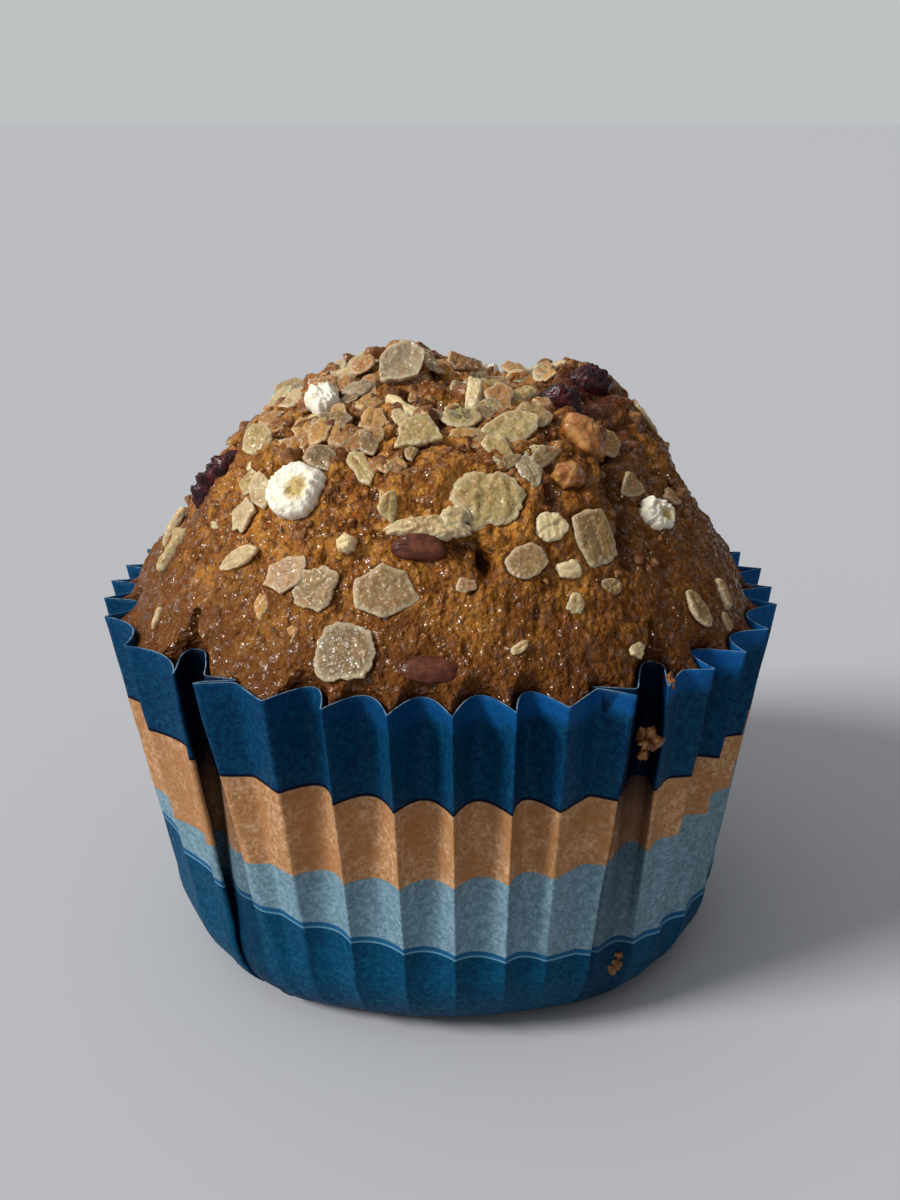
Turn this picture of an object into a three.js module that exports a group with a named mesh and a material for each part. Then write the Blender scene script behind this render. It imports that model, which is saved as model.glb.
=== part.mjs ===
// An oat, nut and fruit muffin in a pleated paper baking case.
// Millimetres, +Z up, the viewer towards -Y. The origin is the middle of the case's flat underside.
// An azimuth is in degrees, 0 towards the viewer and positive towards +X.
import * as THREE from "three";

// Paper case
const CASE_HEIGHT = 41;
const RIM_RADIUS = 38;
const SHOULDER_HEIGHT = 10;
const SHOULDER_RADIUS = 32.4;
const FOOT_RADIUS = 25;
const LEAN_OF_CASE = 0.7; // how far the foot stands towards +X of the rim
const WALL = 0.6;
const FLUTE_DEPTH = 5;
const FLUTE_PITCH = 9; // degrees from ridge to ridge
const FLUTE_ROUNDNESS = 0.8;
const FLUTE_STATIONS = [0, 0.2, 0.5, 0.8]; // shares of the way from a ridge to the next
const FLUTE_FADE = 1.3; // power by which the flutes flatten from the rim to the foot
const WIDE_FADE = 1.5; // power by which a flute wider than the pitch is shallower
const TUCK_DEPTH = 5;
const TUCK_CORNER = 0.9; // degrees from a tuck's mouth to its floor
const PANEL_FACE = [[0, -0.5], [0.2, 1.6], [0.45, 3], [0.75, 2.6]]; // share from folded edge to ridge, and inset
const CASE_LEVELS = [0, 1.2, 4, SHOULDER_HEIGHT, CASE_HEIGHT];

// Muffin
const CLEARANCE = 0.3; // between the muffin and the paper
const TOPPING_GAP = 0.4; // between a topping and the crust
const NORMAL_STEP = 0.5; // over which the crust's slope is taken
const CRUST_EDGE_RADIUS = 34;
const CRUST_EDGE_RISE = 0.8; // above the rim
const CRUST_PROFILE = [
  [0, 22.1], [8, 22], [15.5, 20.7], [21.5, 18], [25.5, 13.8], [28.8, 8.7], [32.3, 3.7], [34.6, 0],
]; // radius and height above the rim
const FULL_RINGS = [31.6, 29.4, 27.2];
const HALF_RINGS = [24.6, 22, 19.4, 16.8, 14.2, 11.6, 9, 6.4, 3.6];

// Swellings and hollows of the crust: where in plan, how high and how wide
const SWELLINGS = [
  { x: -4, y: 3, rise: 3.2, spread: 6 },
  { x: 8, y: 4, rise: -2.8, spread: 3.6 },
  { x: 15, y: 5, rise: 3.5, spread: 4.6 },
  { x: -23, y: 2, rise: -2.2, spread: 4 },
  { x: 13, y: -13, rise: 1, spread: 3.6 },
  { x: 18.8, y: -8.5, rise: -2, spread: 3 },
  { x: 20.2, y: -14.5, rise: -1.6, spread: 3 },
  { x: 1.5, y: -6.5, rise: -1.2, spread: 3 },
];

// Ridges of the flutes on the four stretches of rim between the tucks
const FRONT = { from: -38.2, ridges: [-25.5, -16.5, -7, 2, 11, 18.5], to: 29.6 };
const RIGHT = [35.2, 45.5, 54.5, 66, 78, 87, 96.5, 106, 115, 124, 137];
const BACK = { from: 142, ridges: [154.5, 163, 172, 181, 190, 199, 207.5], to: 218.5 };
const LEFT = [223, 234, 243, 252, 261, 270, 279.5, 288, 302.4, 317.3];

// Finishes
const finish = (color, roughness) => new THREE.MeshStandardMaterial({ color, roughness, metalness: 0 });
const MATERIALS = {
  paper: finish(0x0f5fa8, 0.6),
  crust: finish(0xa9662a, 0.65),
  flake: finish(0xd2bd8c, 0.6),
  puff: finish(0xefe6c8, 0.8),
  nut: finish(0xb8692a, 0.4),
  berry: finish(0x4a1a22, 0.35),
};

// How each kind of topping is made: thickness, unevenness of its outline, and how its rim and crown go
const KINDS = {
  flake: { thick: 0.7, uneven: 0.07, crown: 0.85, shrink: 0.84, material: "flake" },
  sliver: { thick: 1, uneven: 0.05, crown: 1.1, shrink: 0.7, material: "flake" },
  puff: { thick: 1.9, uneven: 0.05, crown: 1.15, shrink: 0.72, material: "puff" },
  nut: { thick: 2.6, uneven: 0.1, crown: 1.15, shrink: 0.7, material: "nut" },
  almond: { thick: 0.9, uneven: 0.03, crown: 1.3, shrink: 0.75, material: "berry" },
  berry: { thick: 1.8, uneven: 0.08, crown: 1.2, shrink: 0.7, material: "berry" },
};
const OUTLINE_POINTS = 10;
const WIDEST = 0.45; // share of a topping's thickness at which it is widest

// Toppings: kind, place in plan, size, heading of the long side from +X, and how far it leans up at the back
const TOPPINGS = {
  flake_crown: ["flake", -4.2, -2.6, 5.1, 4.3, 25, 22],
  puff_small: ["puff", -11.8, -7.2, 4.2, 3.5, 78, 10],
  puff_large: ["puff", -13.7, -19.5, 6.5, 6.3, 0, 0],
  flake_chip_upper: ["flake", -18.8, -15.2, 2.8, 2.4, 42, 0],
  flake_chip_lower: ["flake", -19.4, -17.6, 3.1, 2.8, 31, 0],
  flake_long: ["flake", -19.6, -20.6, 5.4, 1.9, 8, 0],
  flake_bone: ["flake", -7.5, -19.8, 4.6, 2.4, -69, 0],
  flake_corner: ["flake", -2, -16.9, 5.1, 4.2, 13, 12],
  flake_golden: ["flake", -6.6, -13, 3.5, 2.8, 82, 10],
  sliver_crown: ["sliver", -3.6, -10.4, 6.8, 1.3, -50, 0],
  flake_cream: ["flake", -15.6, -2.7, 3.2, 3, -59, 10],
  sliver_cream: ["sliver", -11, 0.2, 6.4, 1.4, -30, 0],
  berry_left: ["berry", -23.4, -8.6, 7.5, 2.9, 20, 0],
  sliver_left_high: ["sliver", -28.5, -6.4, 5.4, 1.3, 12, 0],
  sliver_left_low: ["sliver", -27.9, -11, 5.8, 1.5, 25, 0],
  flake_pale: ["flake", -14.5, -24.7, 4.4, 3.1, 8, 0],
  flake_ragged: ["flake", -11.5, -26.8, 4.6, 3.2, 12, 0],
  flake_front: ["flake", -5, -28.5, 5.5, 3.9, -2, 0],
  flake_round: ["flake", -8.7, -31.2, 6, 5, -4, 0],
  almond_skin: ["almond", -1.7, -26.9, 5.3, 1.5, -5, 0],
  almond_low: ["almond", -0.7, -32.2, 5, 2.4, -9, 0],
  flake_ledge: ["sliver", -1.2, -25.5, 6.4, 1, -6, 0],
  stick: ["sliver", 3.7, -6.7, 6, 1.7, 80, 14],
  sliver_right: ["sliver", 8.4, -6.3, 5.4, 1.9, 38, 8],
  flake_upper: ["flake", 7.2, -14.9, 6, 3.5, 25, 12],
  nut_caramel: ["nut", 14.2, -13.1, 5.4, 4.1, -22, 0],
  flake_yellow: ["flake", 4.7, -23, 6.2, 5.3, 77, 0],
  flake_smoky: ["flake", 8.7, -19.8, 4, 2.5, -60, 0],
  nut_glossy: ["nut", 12.6, -18.8, 3.7, 3, 26, 0],
  flake_bright: ["flake", 10.7, -23.5, 3.4, 2.9, 45, 0],
  flake_leaning: ["flake", 15, -22.1, 6.6, 4, -35, 0],
  flake_amber: ["flake", 8.3, -26.2, 4.3, 3.3, 50, 0],
  puff_right: ["puff", 22.1, -13.7, 4.2, 3.6, 10, 0],
  flake_edge: ["flake", 22.4, 2.4, 5.2, 3, 0, 0],
  flake_low: ["flake", 26, -19.3, 4.3, 2.5, -38, 0],
  sliver_low: ["sliver", 29.3, -14.3, 4, 1.1, -30, 0],
  berry_crest: ["berry", 16.4, 1, 4.6, 3.4, 7, 0],
  berry_hollow: ["berry", 12.6, -5.2, 4.6, 2.4, -10, 0],
  flake_back_left: ["flake", -19, 12, 5.4, 4.4, 70, 0],
  flake_back_high: ["flake", -6, 14, 5.6, 4.2, 20, 0],
  puff_back: ["puff", 4.5, 17.5, 4.8, 4.2, 0, 0],
  flake_back_right: ["flake", 17, 15, 6, 4.6, -40, 0],
  flake_back_low: ["flake", -8, 25.5, 5.6, 4.8, 10, 0],
  sliver_back: ["sliver", 9.5, 25, 6, 1.6, 60, 0],
  berry_back: ["berry", -15.5, 19.5, 5.6, 3.4, -30, 0],
  nut_back: ["nut", 25, 9.5, 4.6, 3.6, 60, 0],
};

const radians = THREE.MathUtils.degToRad;
const mix = THREE.MathUtils.lerp;

// The direction of an azimuth in plan.
const heading = (azimuth) => new THREE.Vector2(Math.sin(radians(azimuth)), -Math.cos(radians(azimuth)));

// One flute's face: a round hollow from its first ridge almost to the next. A wide face is shallower.
function fluteColumns(from, to) {
  const depth = FLUTE_DEPTH * Math.min(1, FLUTE_PITCH / (to - from)) ** WIDE_FADE;
  return FLUTE_STATIONS.map((s) => ({
    azimuth: mix(from, to, s),
    inset: depth * Math.sin(Math.PI * s) ** FLUTE_ROUNDNESS,
  }));
}

// A flat panel whose folded edge overlaps a tuck, dipping before it meets the first or last ridge.
function panelColumns(edge, ridge) {
  const columns = PANEL_FACE.map(([s, inset]) => ({ azimuth: mix(edge, ridge, s), inset }));
  return ridge > edge ? columns : [{ azimuth: ridge, inset: 0 }, ...columns.reverse()];
}

// The floor of the slot between a panel's edge and the ridge of the stretch beside it.
function tuckColumns(from, to) {
  return [from + TUCK_CORNER, to - TUCK_CORNER].map((azimuth) => ({ azimuth, inset: TUCK_DEPTH }));
}

// A stretch of plain flutes, without its last ridge.
function stretchColumns(ridges) {
  return ridges.slice(1).flatMap((ridge, i) => fluteColumns(ridges[i], ridge));
}

// A stretch whose two ends are overlapping panels.
function overlapColumns({ from, ridges, to }) {
  const last = ridges.at(-1);
  return [...panelColumns(from, ridges[0]), ...stretchColumns(ridges), ...panelColumns(to, last)];
}

// A stretch that passes under the panels on both sides.
function underlapColumns(ridges) {
  return [...stretchColumns(ridges), { azimuth: ridges.at(-1), inset: 0 }];
}

const COLUMNS = [
  ...overlapColumns(FRONT),
  ...tuckColumns(FRONT.to, RIGHT[0]),
  ...underlapColumns(RIGHT),
  ...tuckColumns(RIGHT.at(-1), BACK.from),
  ...overlapColumns(BACK),
  ...tuckColumns(BACK.to, LEFT[0]),
  ...underlapColumns(LEFT),
  ...tuckColumns(LEFT.at(-1), FRONT.from + 360),
];

// The ridges' radius: a rounded foot up to the shoulder, then a straight flare to the rim.
function ridgeRadius(z) {
  if (z >= SHOULDER_HEIGHT) {
    const up = (z - SHOULDER_HEIGHT) / (CASE_HEIGHT - SHOULDER_HEIGHT);
    return mix(SHOULDER_RADIUS, RIM_RADIUS, up);
  }
  const down = 1 - z / SHOULDER_HEIGHT;
  return FOOT_RADIUS + (SHOULDER_RADIUS - FOOT_RADIUS) * Math.sqrt(1 - down * down);
}

// How far the rim's outline stands inside the ridges at an azimuth.
function insetAt(azimuth) {
  const first = COLUMNS[0].azimuth;
  const turned = first + THREE.MathUtils.euclideanModulo(azimuth - first, 360);
  const next = COLUMNS.findIndex((column) => column.azimuth > turned);
  const a = COLUMNS.at(next < 0 ? -1 : next - 1);
  const b = next < 0 ? { azimuth: first + 360, inset: COLUMNS[0].inset } : COLUMNS[next];
  return mix(a.inset, b.inset, (turned - a.azimuth) / (b.azimuth - a.azimuth));
}

// The case's outline at a height, moved inwards by a distance. A point stays that far from the folds beside it too,
// and a moved ring rises where the case turns under.
function caseRing(z, inwards = 0) {
  const shift = LEAN_OF_CASE * (1 - z / CASE_HEIGHT);
  const fade = (z / CASE_HEIGHT) ** FLUTE_FADE;
  const lift = inwards * Math.max(0, 1 - z / SHOULDER_HEIGHT);
  const beside = THREE.MathUtils.radToDeg(inwards / ridgeRadius(z));
  return COLUMNS.map(({ azimuth }) => {
    const deepest = Math.max(...[-1, -0.5, 0, 0.5, 1].map((s) => insetAt(azimuth + s * beside)));
    const p = heading(azimuth).multiplyScalar(ridgeRadius(z) - deepest * fade - inwards);
    return new THREE.Vector3(p.x + shift, p.y, z + lift);
  });
}

// Rings of points joined into one closed surface from a first pole to a last one. Each ring runs anticlockwise
// seen from above, and may have half the points of the ring before it. Rising and falling walls are cut along
// the same diagonals, so that two walls side by side don't cross.
function closedSkin(firstPole, rings, lastPole) {
  const points = [firstPole, ...rings.flat(), lastPole];
  const index = [];
  const starts = rings.map((_, k) => 1 + rings.slice(0, k).flat().length);
  const corner = (k, i) => starts[k] + (i % rings[k].length);
  rings[0].forEach((_, i) => index.push(0, corner(0, i + 1), corner(0, i)));
  for (let k = 0; k + 1 < rings.length; k++) {
    const halved = rings[k + 1].length < rings[k].length;
    const falls = rings[k + 1][0].z < rings[k][0].z;
    rings[k + 1].forEach((_, j) => {
      const [a, b] = [corner(k + 1, j), corner(k + 1, j + 1)];
      const i = halved ? 2 * j : j;
      const [c, d] = [corner(k, i), corner(k, i + 1)];
      if (halved) {
        const e = corner(k, i + 2);
        index.push(c, d, a, d, b, a, d, e, b);
      } else if (falls) {
        index.push(c, d, a, d, b, a);
      } else {
        index.push(c, d, b, c, b, a);
      }
    });
  }
  const top = rings.length - 1;
  rings[top].forEach((_, i) => index.push(corner(top, i), corner(top, i + 1), points.length - 1));
  const geometry = new THREE.BufferGeometry().setFromPoints(points);
  geometry.setIndex(index);
  geometry.computeVertexNormals();
  return geometry;
}

// The paper case: a pleated cup with an open mouth.
function paperCase() {
  const outside = CASE_LEVELS.map((z) => caseRing(z));
  const inside = CASE_LEVELS.map((z) => caseRing(z, WALL)).reverse();
  const middle = (z) => new THREE.Vector3(LEAN_OF_CASE, 0, z);
  return closedSkin(middle(0), [...outside, ...inside], middle(WALL));
}

// Height of a smooth curve through the crust profile's points.
function profileHeight(radius) {
  const p = CRUST_PROFILE;
  let k = 0;
  while (k < p.length - 2 && radius > p[k + 1][0]) k++;
  const slope = (a, b) => (p[b][1] - p[a][1]) / (p[b][0] - p[a][0]);
  const span = p[k + 1][0] - p[k][0];
  const t = (radius - p[k][0]) / span;
  const start = k ? slope(k - 1, k + 1) * span : 0;
  const end = slope(k, Math.min(k + 2, p.length - 1)) * span;
  const [h0, h1] = [p[k][1], p[k + 1][1]];
  return h0 + t * (start + t * (3 * (h1 - h0) - 2 * start - end + t * (2 * (h0 - h1) + start + end)));
}

// Height of the crust over a point in plan.
function crustHeight(x, y) {
  const swell = SWELLINGS.reduce((sum, s) => {
    const far = (x - s.x) ** 2 + (y - s.y) ** 2;
    return sum + s.rise * Math.exp(-far / (2 * s.spread ** 2));
  }, 0);
  return CASE_HEIGHT + profileHeight(Math.hypot(x, y)) + swell;
}

// A point of the crust over a place in plan.
const crustPoint = (x, y) => new THREE.Vector3(x, y, crustHeight(x, y));

// The crust's outward direction over a place in plan.
function crustNormal(x, y) {
  const across = crustPoint(x + NORMAL_STEP, y).sub(crustPoint(x - NORMAL_STEP, y));
  const back = crustPoint(x, y + NORMAL_STEP).sub(crustPoint(x, y - NORMAL_STEP));
  return across.cross(back).normalize();
}

// The muffin: it fills the case to the rim and rises over it in a lumpy dome.
function muffin() {
  const filling = CASE_LEVELS.map((z) => caseRing(z, WALL + CLEARANCE));
  const edge = filling.at(-1).map((p) => {
    const flat = new THREE.Vector3(p.x, p.y, 0).clampLength(0, CRUST_EDGE_RADIUS);
    return flat.setZ(CASE_HEIGHT + CRUST_EDGE_RISE);
  });
  const dome = (radius, columns) =>
    columns.map(({ azimuth }) => {
      const p = heading(azimuth).multiplyScalar(radius);
      return crustPoint(p.x, p.y);
    });
  const everySecond = COLUMNS.filter((_, i) => i % 2 === 0);
  const rings = [
    ...filling,
    edge,
    ...FULL_RINGS.map((radius) => dome(radius, COLUMNS)),
    ...HALF_RINGS.map((radius) => dome(radius, everySecond)),
  ];
  const lowest = new THREE.Vector3(LEAN_OF_CASE, 0, WALL + CLEARANCE);
  return closedSkin(lowest, rings, crustPoint(0, 0));
}

// A topping lying on the crust: a bottom that follows the crust, an uneven rim and a crown.
function topping([kind, x, y, long, wide, turn, lean], seed) {
  const { thick, uneven, crown, shrink } = KINDS[kind];
  const centre = crustPoint(x, y);
  const up = crustNormal(x, y);
  const along = new THREE.Vector3(Math.cos(radians(turn)), Math.sin(radians(turn)), 0);
  along.addScaledVector(up, -along.dot(up)).normalize();
  const beside = up.clone().cross(along);
  const back = new THREE.Vector3(0, 1, 0);
  back.addScaledVector(up, -back.y * up.y).normalize();
  const at = (a, b, height) => {
    const flat = centre.clone().addScaledVector(along, a).addScaledVector(beside, b);
    const behind = flat.clone().sub(centre).dot(back) + wide / 2;
    const raise = TOPPING_GAP + height + Math.tan(radians(lean)) * Math.max(0, behind);
    return crustPoint(flat.x, flat.y).addScaledVector(up, raise);
  };
  const ring = (scale, height) =>
    Array.from({ length: OUTLINE_POINTS }, (_, i) => {
      const angle = (2 * Math.PI * i) / OUTLINE_POINTS;
      const wave = 1 + uneven * (Math.sin(3 * angle + seed) + Math.sin(2 * angle + 2 * seed));
      const reach = scale * wave;
      return at((long / 2) * Math.cos(angle) * reach, (wide / 2) * Math.sin(angle) * reach, height);
    });
  const rings = [ring(shrink, 0), ring(1, WIDEST * thick), ring(shrink, thick)];
  return closedSkin(at(0, 0, 0), rings, at(0, 0, crown * thick));
}

// One named mesh.
function piece(name, geometry, material) {
  const mesh = new THREE.Mesh(geometry, MATERIALS[material]);
  mesh.name = name;
  return mesh;
}

const whole = new THREE.Group();
whole.add(piece("paper_case", paperCase(), "paper"));
whole.add(piece("muffin_body", muffin(), "crust"));
Object.entries(TOPPINGS).forEach(([name, values], i) => {
  whole.add(piece(name, topping(values, i), KINDS[values[0]].material));
});

export default whole;
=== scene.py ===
"""A domed muffin with oat flakes, puffed grain, nuts and dried berries, in its pleated paper case.

Lengths are millimetres in the row frame, +Z up and the viewer towards -Y, until a mesh or a light is made.
"""

import logging
import math
from dataclasses import dataclass, field
from enum import Enum
from functools import cached_property
from typing import ClassVar

import bpy
import numpy as np
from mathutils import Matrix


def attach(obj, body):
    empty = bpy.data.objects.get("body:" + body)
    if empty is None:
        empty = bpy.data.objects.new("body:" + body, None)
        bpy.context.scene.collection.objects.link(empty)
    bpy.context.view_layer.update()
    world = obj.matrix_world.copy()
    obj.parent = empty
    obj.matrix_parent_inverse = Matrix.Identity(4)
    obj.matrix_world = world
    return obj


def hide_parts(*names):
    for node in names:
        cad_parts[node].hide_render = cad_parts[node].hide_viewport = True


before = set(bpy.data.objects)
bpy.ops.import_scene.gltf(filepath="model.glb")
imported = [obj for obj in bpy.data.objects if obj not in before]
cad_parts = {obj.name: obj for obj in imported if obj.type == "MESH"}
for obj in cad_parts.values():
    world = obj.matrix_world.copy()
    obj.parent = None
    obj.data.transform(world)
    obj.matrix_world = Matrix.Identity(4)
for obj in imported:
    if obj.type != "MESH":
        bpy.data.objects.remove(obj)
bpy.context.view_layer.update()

MM = 0.001
CASE_HEIGHT = 41.0
SHOULDER_HEIGHT = 10.0
Array = np.ndarray
Colour = tuple[float, float, float]
LOG = logging.getLogger("muffin")


# Shapes in numbers


def smooth_step(values: Array, low: float, high: float) -> Array:
    """A soft step of values.

    Args:
        values: What is stepped.
        low: Where the step starts at 0. It may lie above high, for a falling step.
        high: Where the step ends at 1.

    Returns:
        Shares from 0 to 1.
    """
    t = np.clip((values - low) / (high - low), 0, 1)
    return t * t * (3 - 2 * t)


def unit(vectors: Array) -> Array:
    """The vectors at length 1."""
    return vectors / np.linalg.norm(vectors, axis=-1, keepdims=True)


class Noise:
    """Smooth gradient noise over points in space."""

    def __init__(self, seed: int) -> None:
        """Draws the lattice's order and slopes.

        Args:
            seed: Where the draws start.
        """
        draw = np.random.default_rng(seed)
        self.order = draw.permutation(256)
        self.slopes = unit(draw.normal(size=(256, 3)))

    def at(self, points: Array, size: float) -> Array:
        """The noise at some points.

        Args:
            points: Points as rows of x, y and z.
            size: Width of one swell, in the points' unit.

        Returns:
            One value for each point, mostly from -1 to 1.
        """
        scaled = points / size
        cell = np.floor(scaled).astype(int)
        inside = scaled - cell
        ease = inside**3 * (inside * (inside * 6 - 15) + 10)
        total = np.zeros(len(points))
        for corner in np.ndindex(2, 2, 2):
            step = np.array(corner)
            place = (cell + step) & 255
            pick = self.order[(self.order[(self.order[place[:, 0]] + place[:, 1]) & 255] + place[:, 2]) & 255]
            weight = np.prod(np.where(step, ease, 1 - ease), axis=1)
            total += weight * np.sum(self.slopes[pick] * (inside - step), axis=1)
        return 1.7 * total

    def layered(self, points: Array, size: float, layers: int) -> Array:
        """Noise summed over layers, each half as wide and half as strong as the one before.

        Args:
            points: Points as rows of x, y and z.
            size: Width of the first layer's swells.
            layers: How many layers.

        Returns:
            One value for each point.
        """
        return sum(self.at(points + 31.7 * k, size / 2**k) / 2**k for k in range(layers))

    def nodules(self, points: Array, size: float) -> Array:
        """Round nodules with sharp creases between them, from about 0 to 1."""
        return np.abs(self.at(points, size)) * 1.6


@dataclass(frozen=True)
class Swelling:
    """A swelling or hollow of the crust: its place in plan, how high and how wide it is."""

    x: float
    y: float
    rise: float
    spread: float


@dataclass(frozen=True)
class Groove:
    """A crease or crack along a line in plan."""

    line: tuple[tuple[float, float], ...]
    depth: float
    width: float


@dataclass(frozen=True)
class Stain:
    """A round patch of the crust with a colour of its own; some red-brown ones are painted shade."""

    x: float
    y: float
    radius: float
    strength: float


@dataclass(frozen=True)
class Dome:
    """The crust's large form, as the solid has it: heights over the rim by radius, and swellings."""

    profile: tuple[tuple[float, float], ...] = (
        (0, 22.1),
        (8, 22),
        (15.5, 20.7),
        (21.5, 18),
        (25.5, 13.8),
        (28.8, 8.7),
        (32.3, 3.7),
        (34.6, 0),
    )
    fall: float = 1.1
    swellings: tuple[Swelling, ...] = (
        Swelling(-4, 3, 3.2, 6),
        Swelling(8, 4, -2.8, 3.6),
        Swelling(15, 5, 3.5, 4.6),
        Swelling(-23, 2, -2.2, 4),
        Swelling(13, -13, 1, 3.6),
        Swelling(18.8, -8.5, -2, 3),
        Swelling(20.2, -14.5, -1.6, 3),
        Swelling(1.5, -6.5, -1.2, 3),
    )

    def rise(self, radius: Array) -> Array:
        """Height over the rim of a smooth curve through the profile, falling straight on past its end.

        Args:
            radius: Distances in plan from the crown.

        Returns:
            One height for each distance.
        """
        r, h = np.array(self.profile).T
        beyond = np.maximum(radius - r[-1], 0)
        radius = np.minimum(radius, r[-1])
        k = np.clip(np.searchsorted(r, radius, side="right") - 1, 0, len(r) - 2)
        span = r[k + 1] - r[k]
        t = (radius - r[k]) / span
        before, after = np.maximum(k - 1, 0), np.minimum(k + 2, len(r) - 1)
        start = np.where(k > 0, (h[k + 1] - h[before]) / (r[k + 1] - r[before]), 0) * span
        end = (h[after] - h[k]) / (r[after] - r[k]) * span
        step = h[k + 1] - h[k]
        bend = 3 * step - 2 * start - end + t * (start + end - 2 * step)
        return h[k] + t * (start + t * bend) - self.fall * beyond

    def height(self, x: Array, y: Array) -> Array:
        """Height of the crust over places in plan.

        Args:
            x: Places to the viewer's right.
            y: Places away from the viewer.

        Returns:
            One height over the floor for each place.
        """
        total = CASE_HEIGHT + self.rise(np.hypot(x, y))
        for swelling in self.swellings:
            away = (x - swelling.x) ** 2 + (y - swelling.y) ** 2
            total = total + swelling.rise * np.exp(-away / (2 * swelling.spread**2))
        return total

    def points(self, x: Array, y: Array) -> Array:
        """Points of the crust over places in plan, as rows."""
        return np.stack([x, y, self.height(x, y)], axis=-1)

    def normals(self, x: Array, y: Array) -> Array:
        """The crust's outward directions over places in plan.

        Args:
            x: Places to the viewer's right.
            y: Places away from the viewer.

        Returns:
            Directions of length 1, as rows.
        """
        step = 0.5
        across = (self.height(x + step, y) - self.height(x - step, y)) / (2 * step)
        back = (self.height(x, y + step) - self.height(x, y - step)) / (2 * step)
        return unit(np.stack([-across, -back, np.ones_like(across)], axis=-1))


def away_from_line(points: Array, line: tuple[tuple[float, float], ...]) -> Array:
    """Distance in plan of points from a line of straight stretches.

    Args:
        points: Points as rows, of which x and y are used.
        line: The line's corners in plan.

    Returns:
        One distance for each point.
    """
    best = np.full(len(points), 1e9)
    flat = points[:, :2]
    for a, b in zip(np.array(line), np.array(line[1:])):
        along = b - a
        t = np.clip((flat - a) @ along / (along @ along), 0, 1)
        best = np.minimum(best, np.linalg.norm(flat - a - t[:, None] * along, axis=1))
    return best


# Meshes


class Skin:
    """Points and faces of one mesh while it is built, with values stored on its points."""

    def __init__(self) -> None:
        """Starts an empty skin."""
        self.points: list[Array] = []
        self.faces: list[tuple[int, ...]] = []
        self.slots: list[int] = []
        self.values: dict[str, list[Array]] = {}
        self.count = 0

    def add(self, points: Array, **values: Array) -> int:
        """Adds points with their values.

        Args:
            points: Rows of x, y and z in millimetres.
            values: For each name one number, or one row of three, for each point.

        Returns:
            The index of the first point added.
        """
        start = self.count
        self.points.append(points)
        self.count += len(points)
        for name, value in values.items():
            self.values.setdefault(name, []).append(np.asarray(value, float))
        return start

    def face(self, *corners: int, slot: int = 0) -> None:
        """Adds one face by its corners' indices."""
        self.faces.append(corners)
        self.slots.append(slot)

    def band(self, lower: int, upper: int, count: int, slot: int = 0) -> None:
        """Joins two closed rings of the same number of points.

        Args:
            lower: Index of the first ring's first point. Seen from the upper ring, they run anticlockwise.
            upper: Index of the second ring's first point.
            count: Points in each ring.
            slot: Material slot of the faces.
        """
        for i in range(count):
            j = (i + 1) % count
            self.face(lower + i, lower + j, upper + j, upper + i, slot=slot)

    def cap(self, ring: int, count: int, middle: int, upward: bool) -> None:
        """Closes a ring with a fan to a middle point.

        Args:
            ring: Index of the ring's first point.
            count: Points in the ring.
            middle: Index of the middle point.
            upward: Whether the fan faces up.
        """
        for i in range(count):
            a, b = ring + i, ring + (i + 1) % count
            self.face(*((a, b, middle) if upward else (b, a, middle)))

    def piece(self, name: str) -> bpy.types.Object:
        """Makes the mesh object, smooth shaded, in metres.

        Args:
            name: The object's name.

        Returns:
            The object, linked to the scene.
        """
        mesh = bpy.data.meshes.new(name)
        points = np.concatenate(self.points)
        mesh.from_pydata((points * MM).tolist(), [], self.faces)
        mesh.polygons.foreach_set("use_smooth", [True] * len(mesh.polygons))
        mesh.polygons.foreach_set("material_index", self.slots)
        for label, parts in self.values.items():
            value = np.concatenate(parts)
            if value.ndim == 2:
                layer = mesh.attributes.new(label, "FLOAT_COLOR", "POINT")
                full = np.concatenate([value, np.ones((len(value), 1))], axis=1)
                layer.data.foreach_set("color", full.astype(np.float32).ravel())
            else:
                layer = mesh.attributes.new(label, "FLOAT", "POINT")
                layer.data.foreach_set("value", value.astype(np.float32))
        mesh.update()
        made = bpy.data.objects.new(name, mesh)
        bpy.context.scene.collection.objects.link(made)
        return made


# Shader nodes


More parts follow.
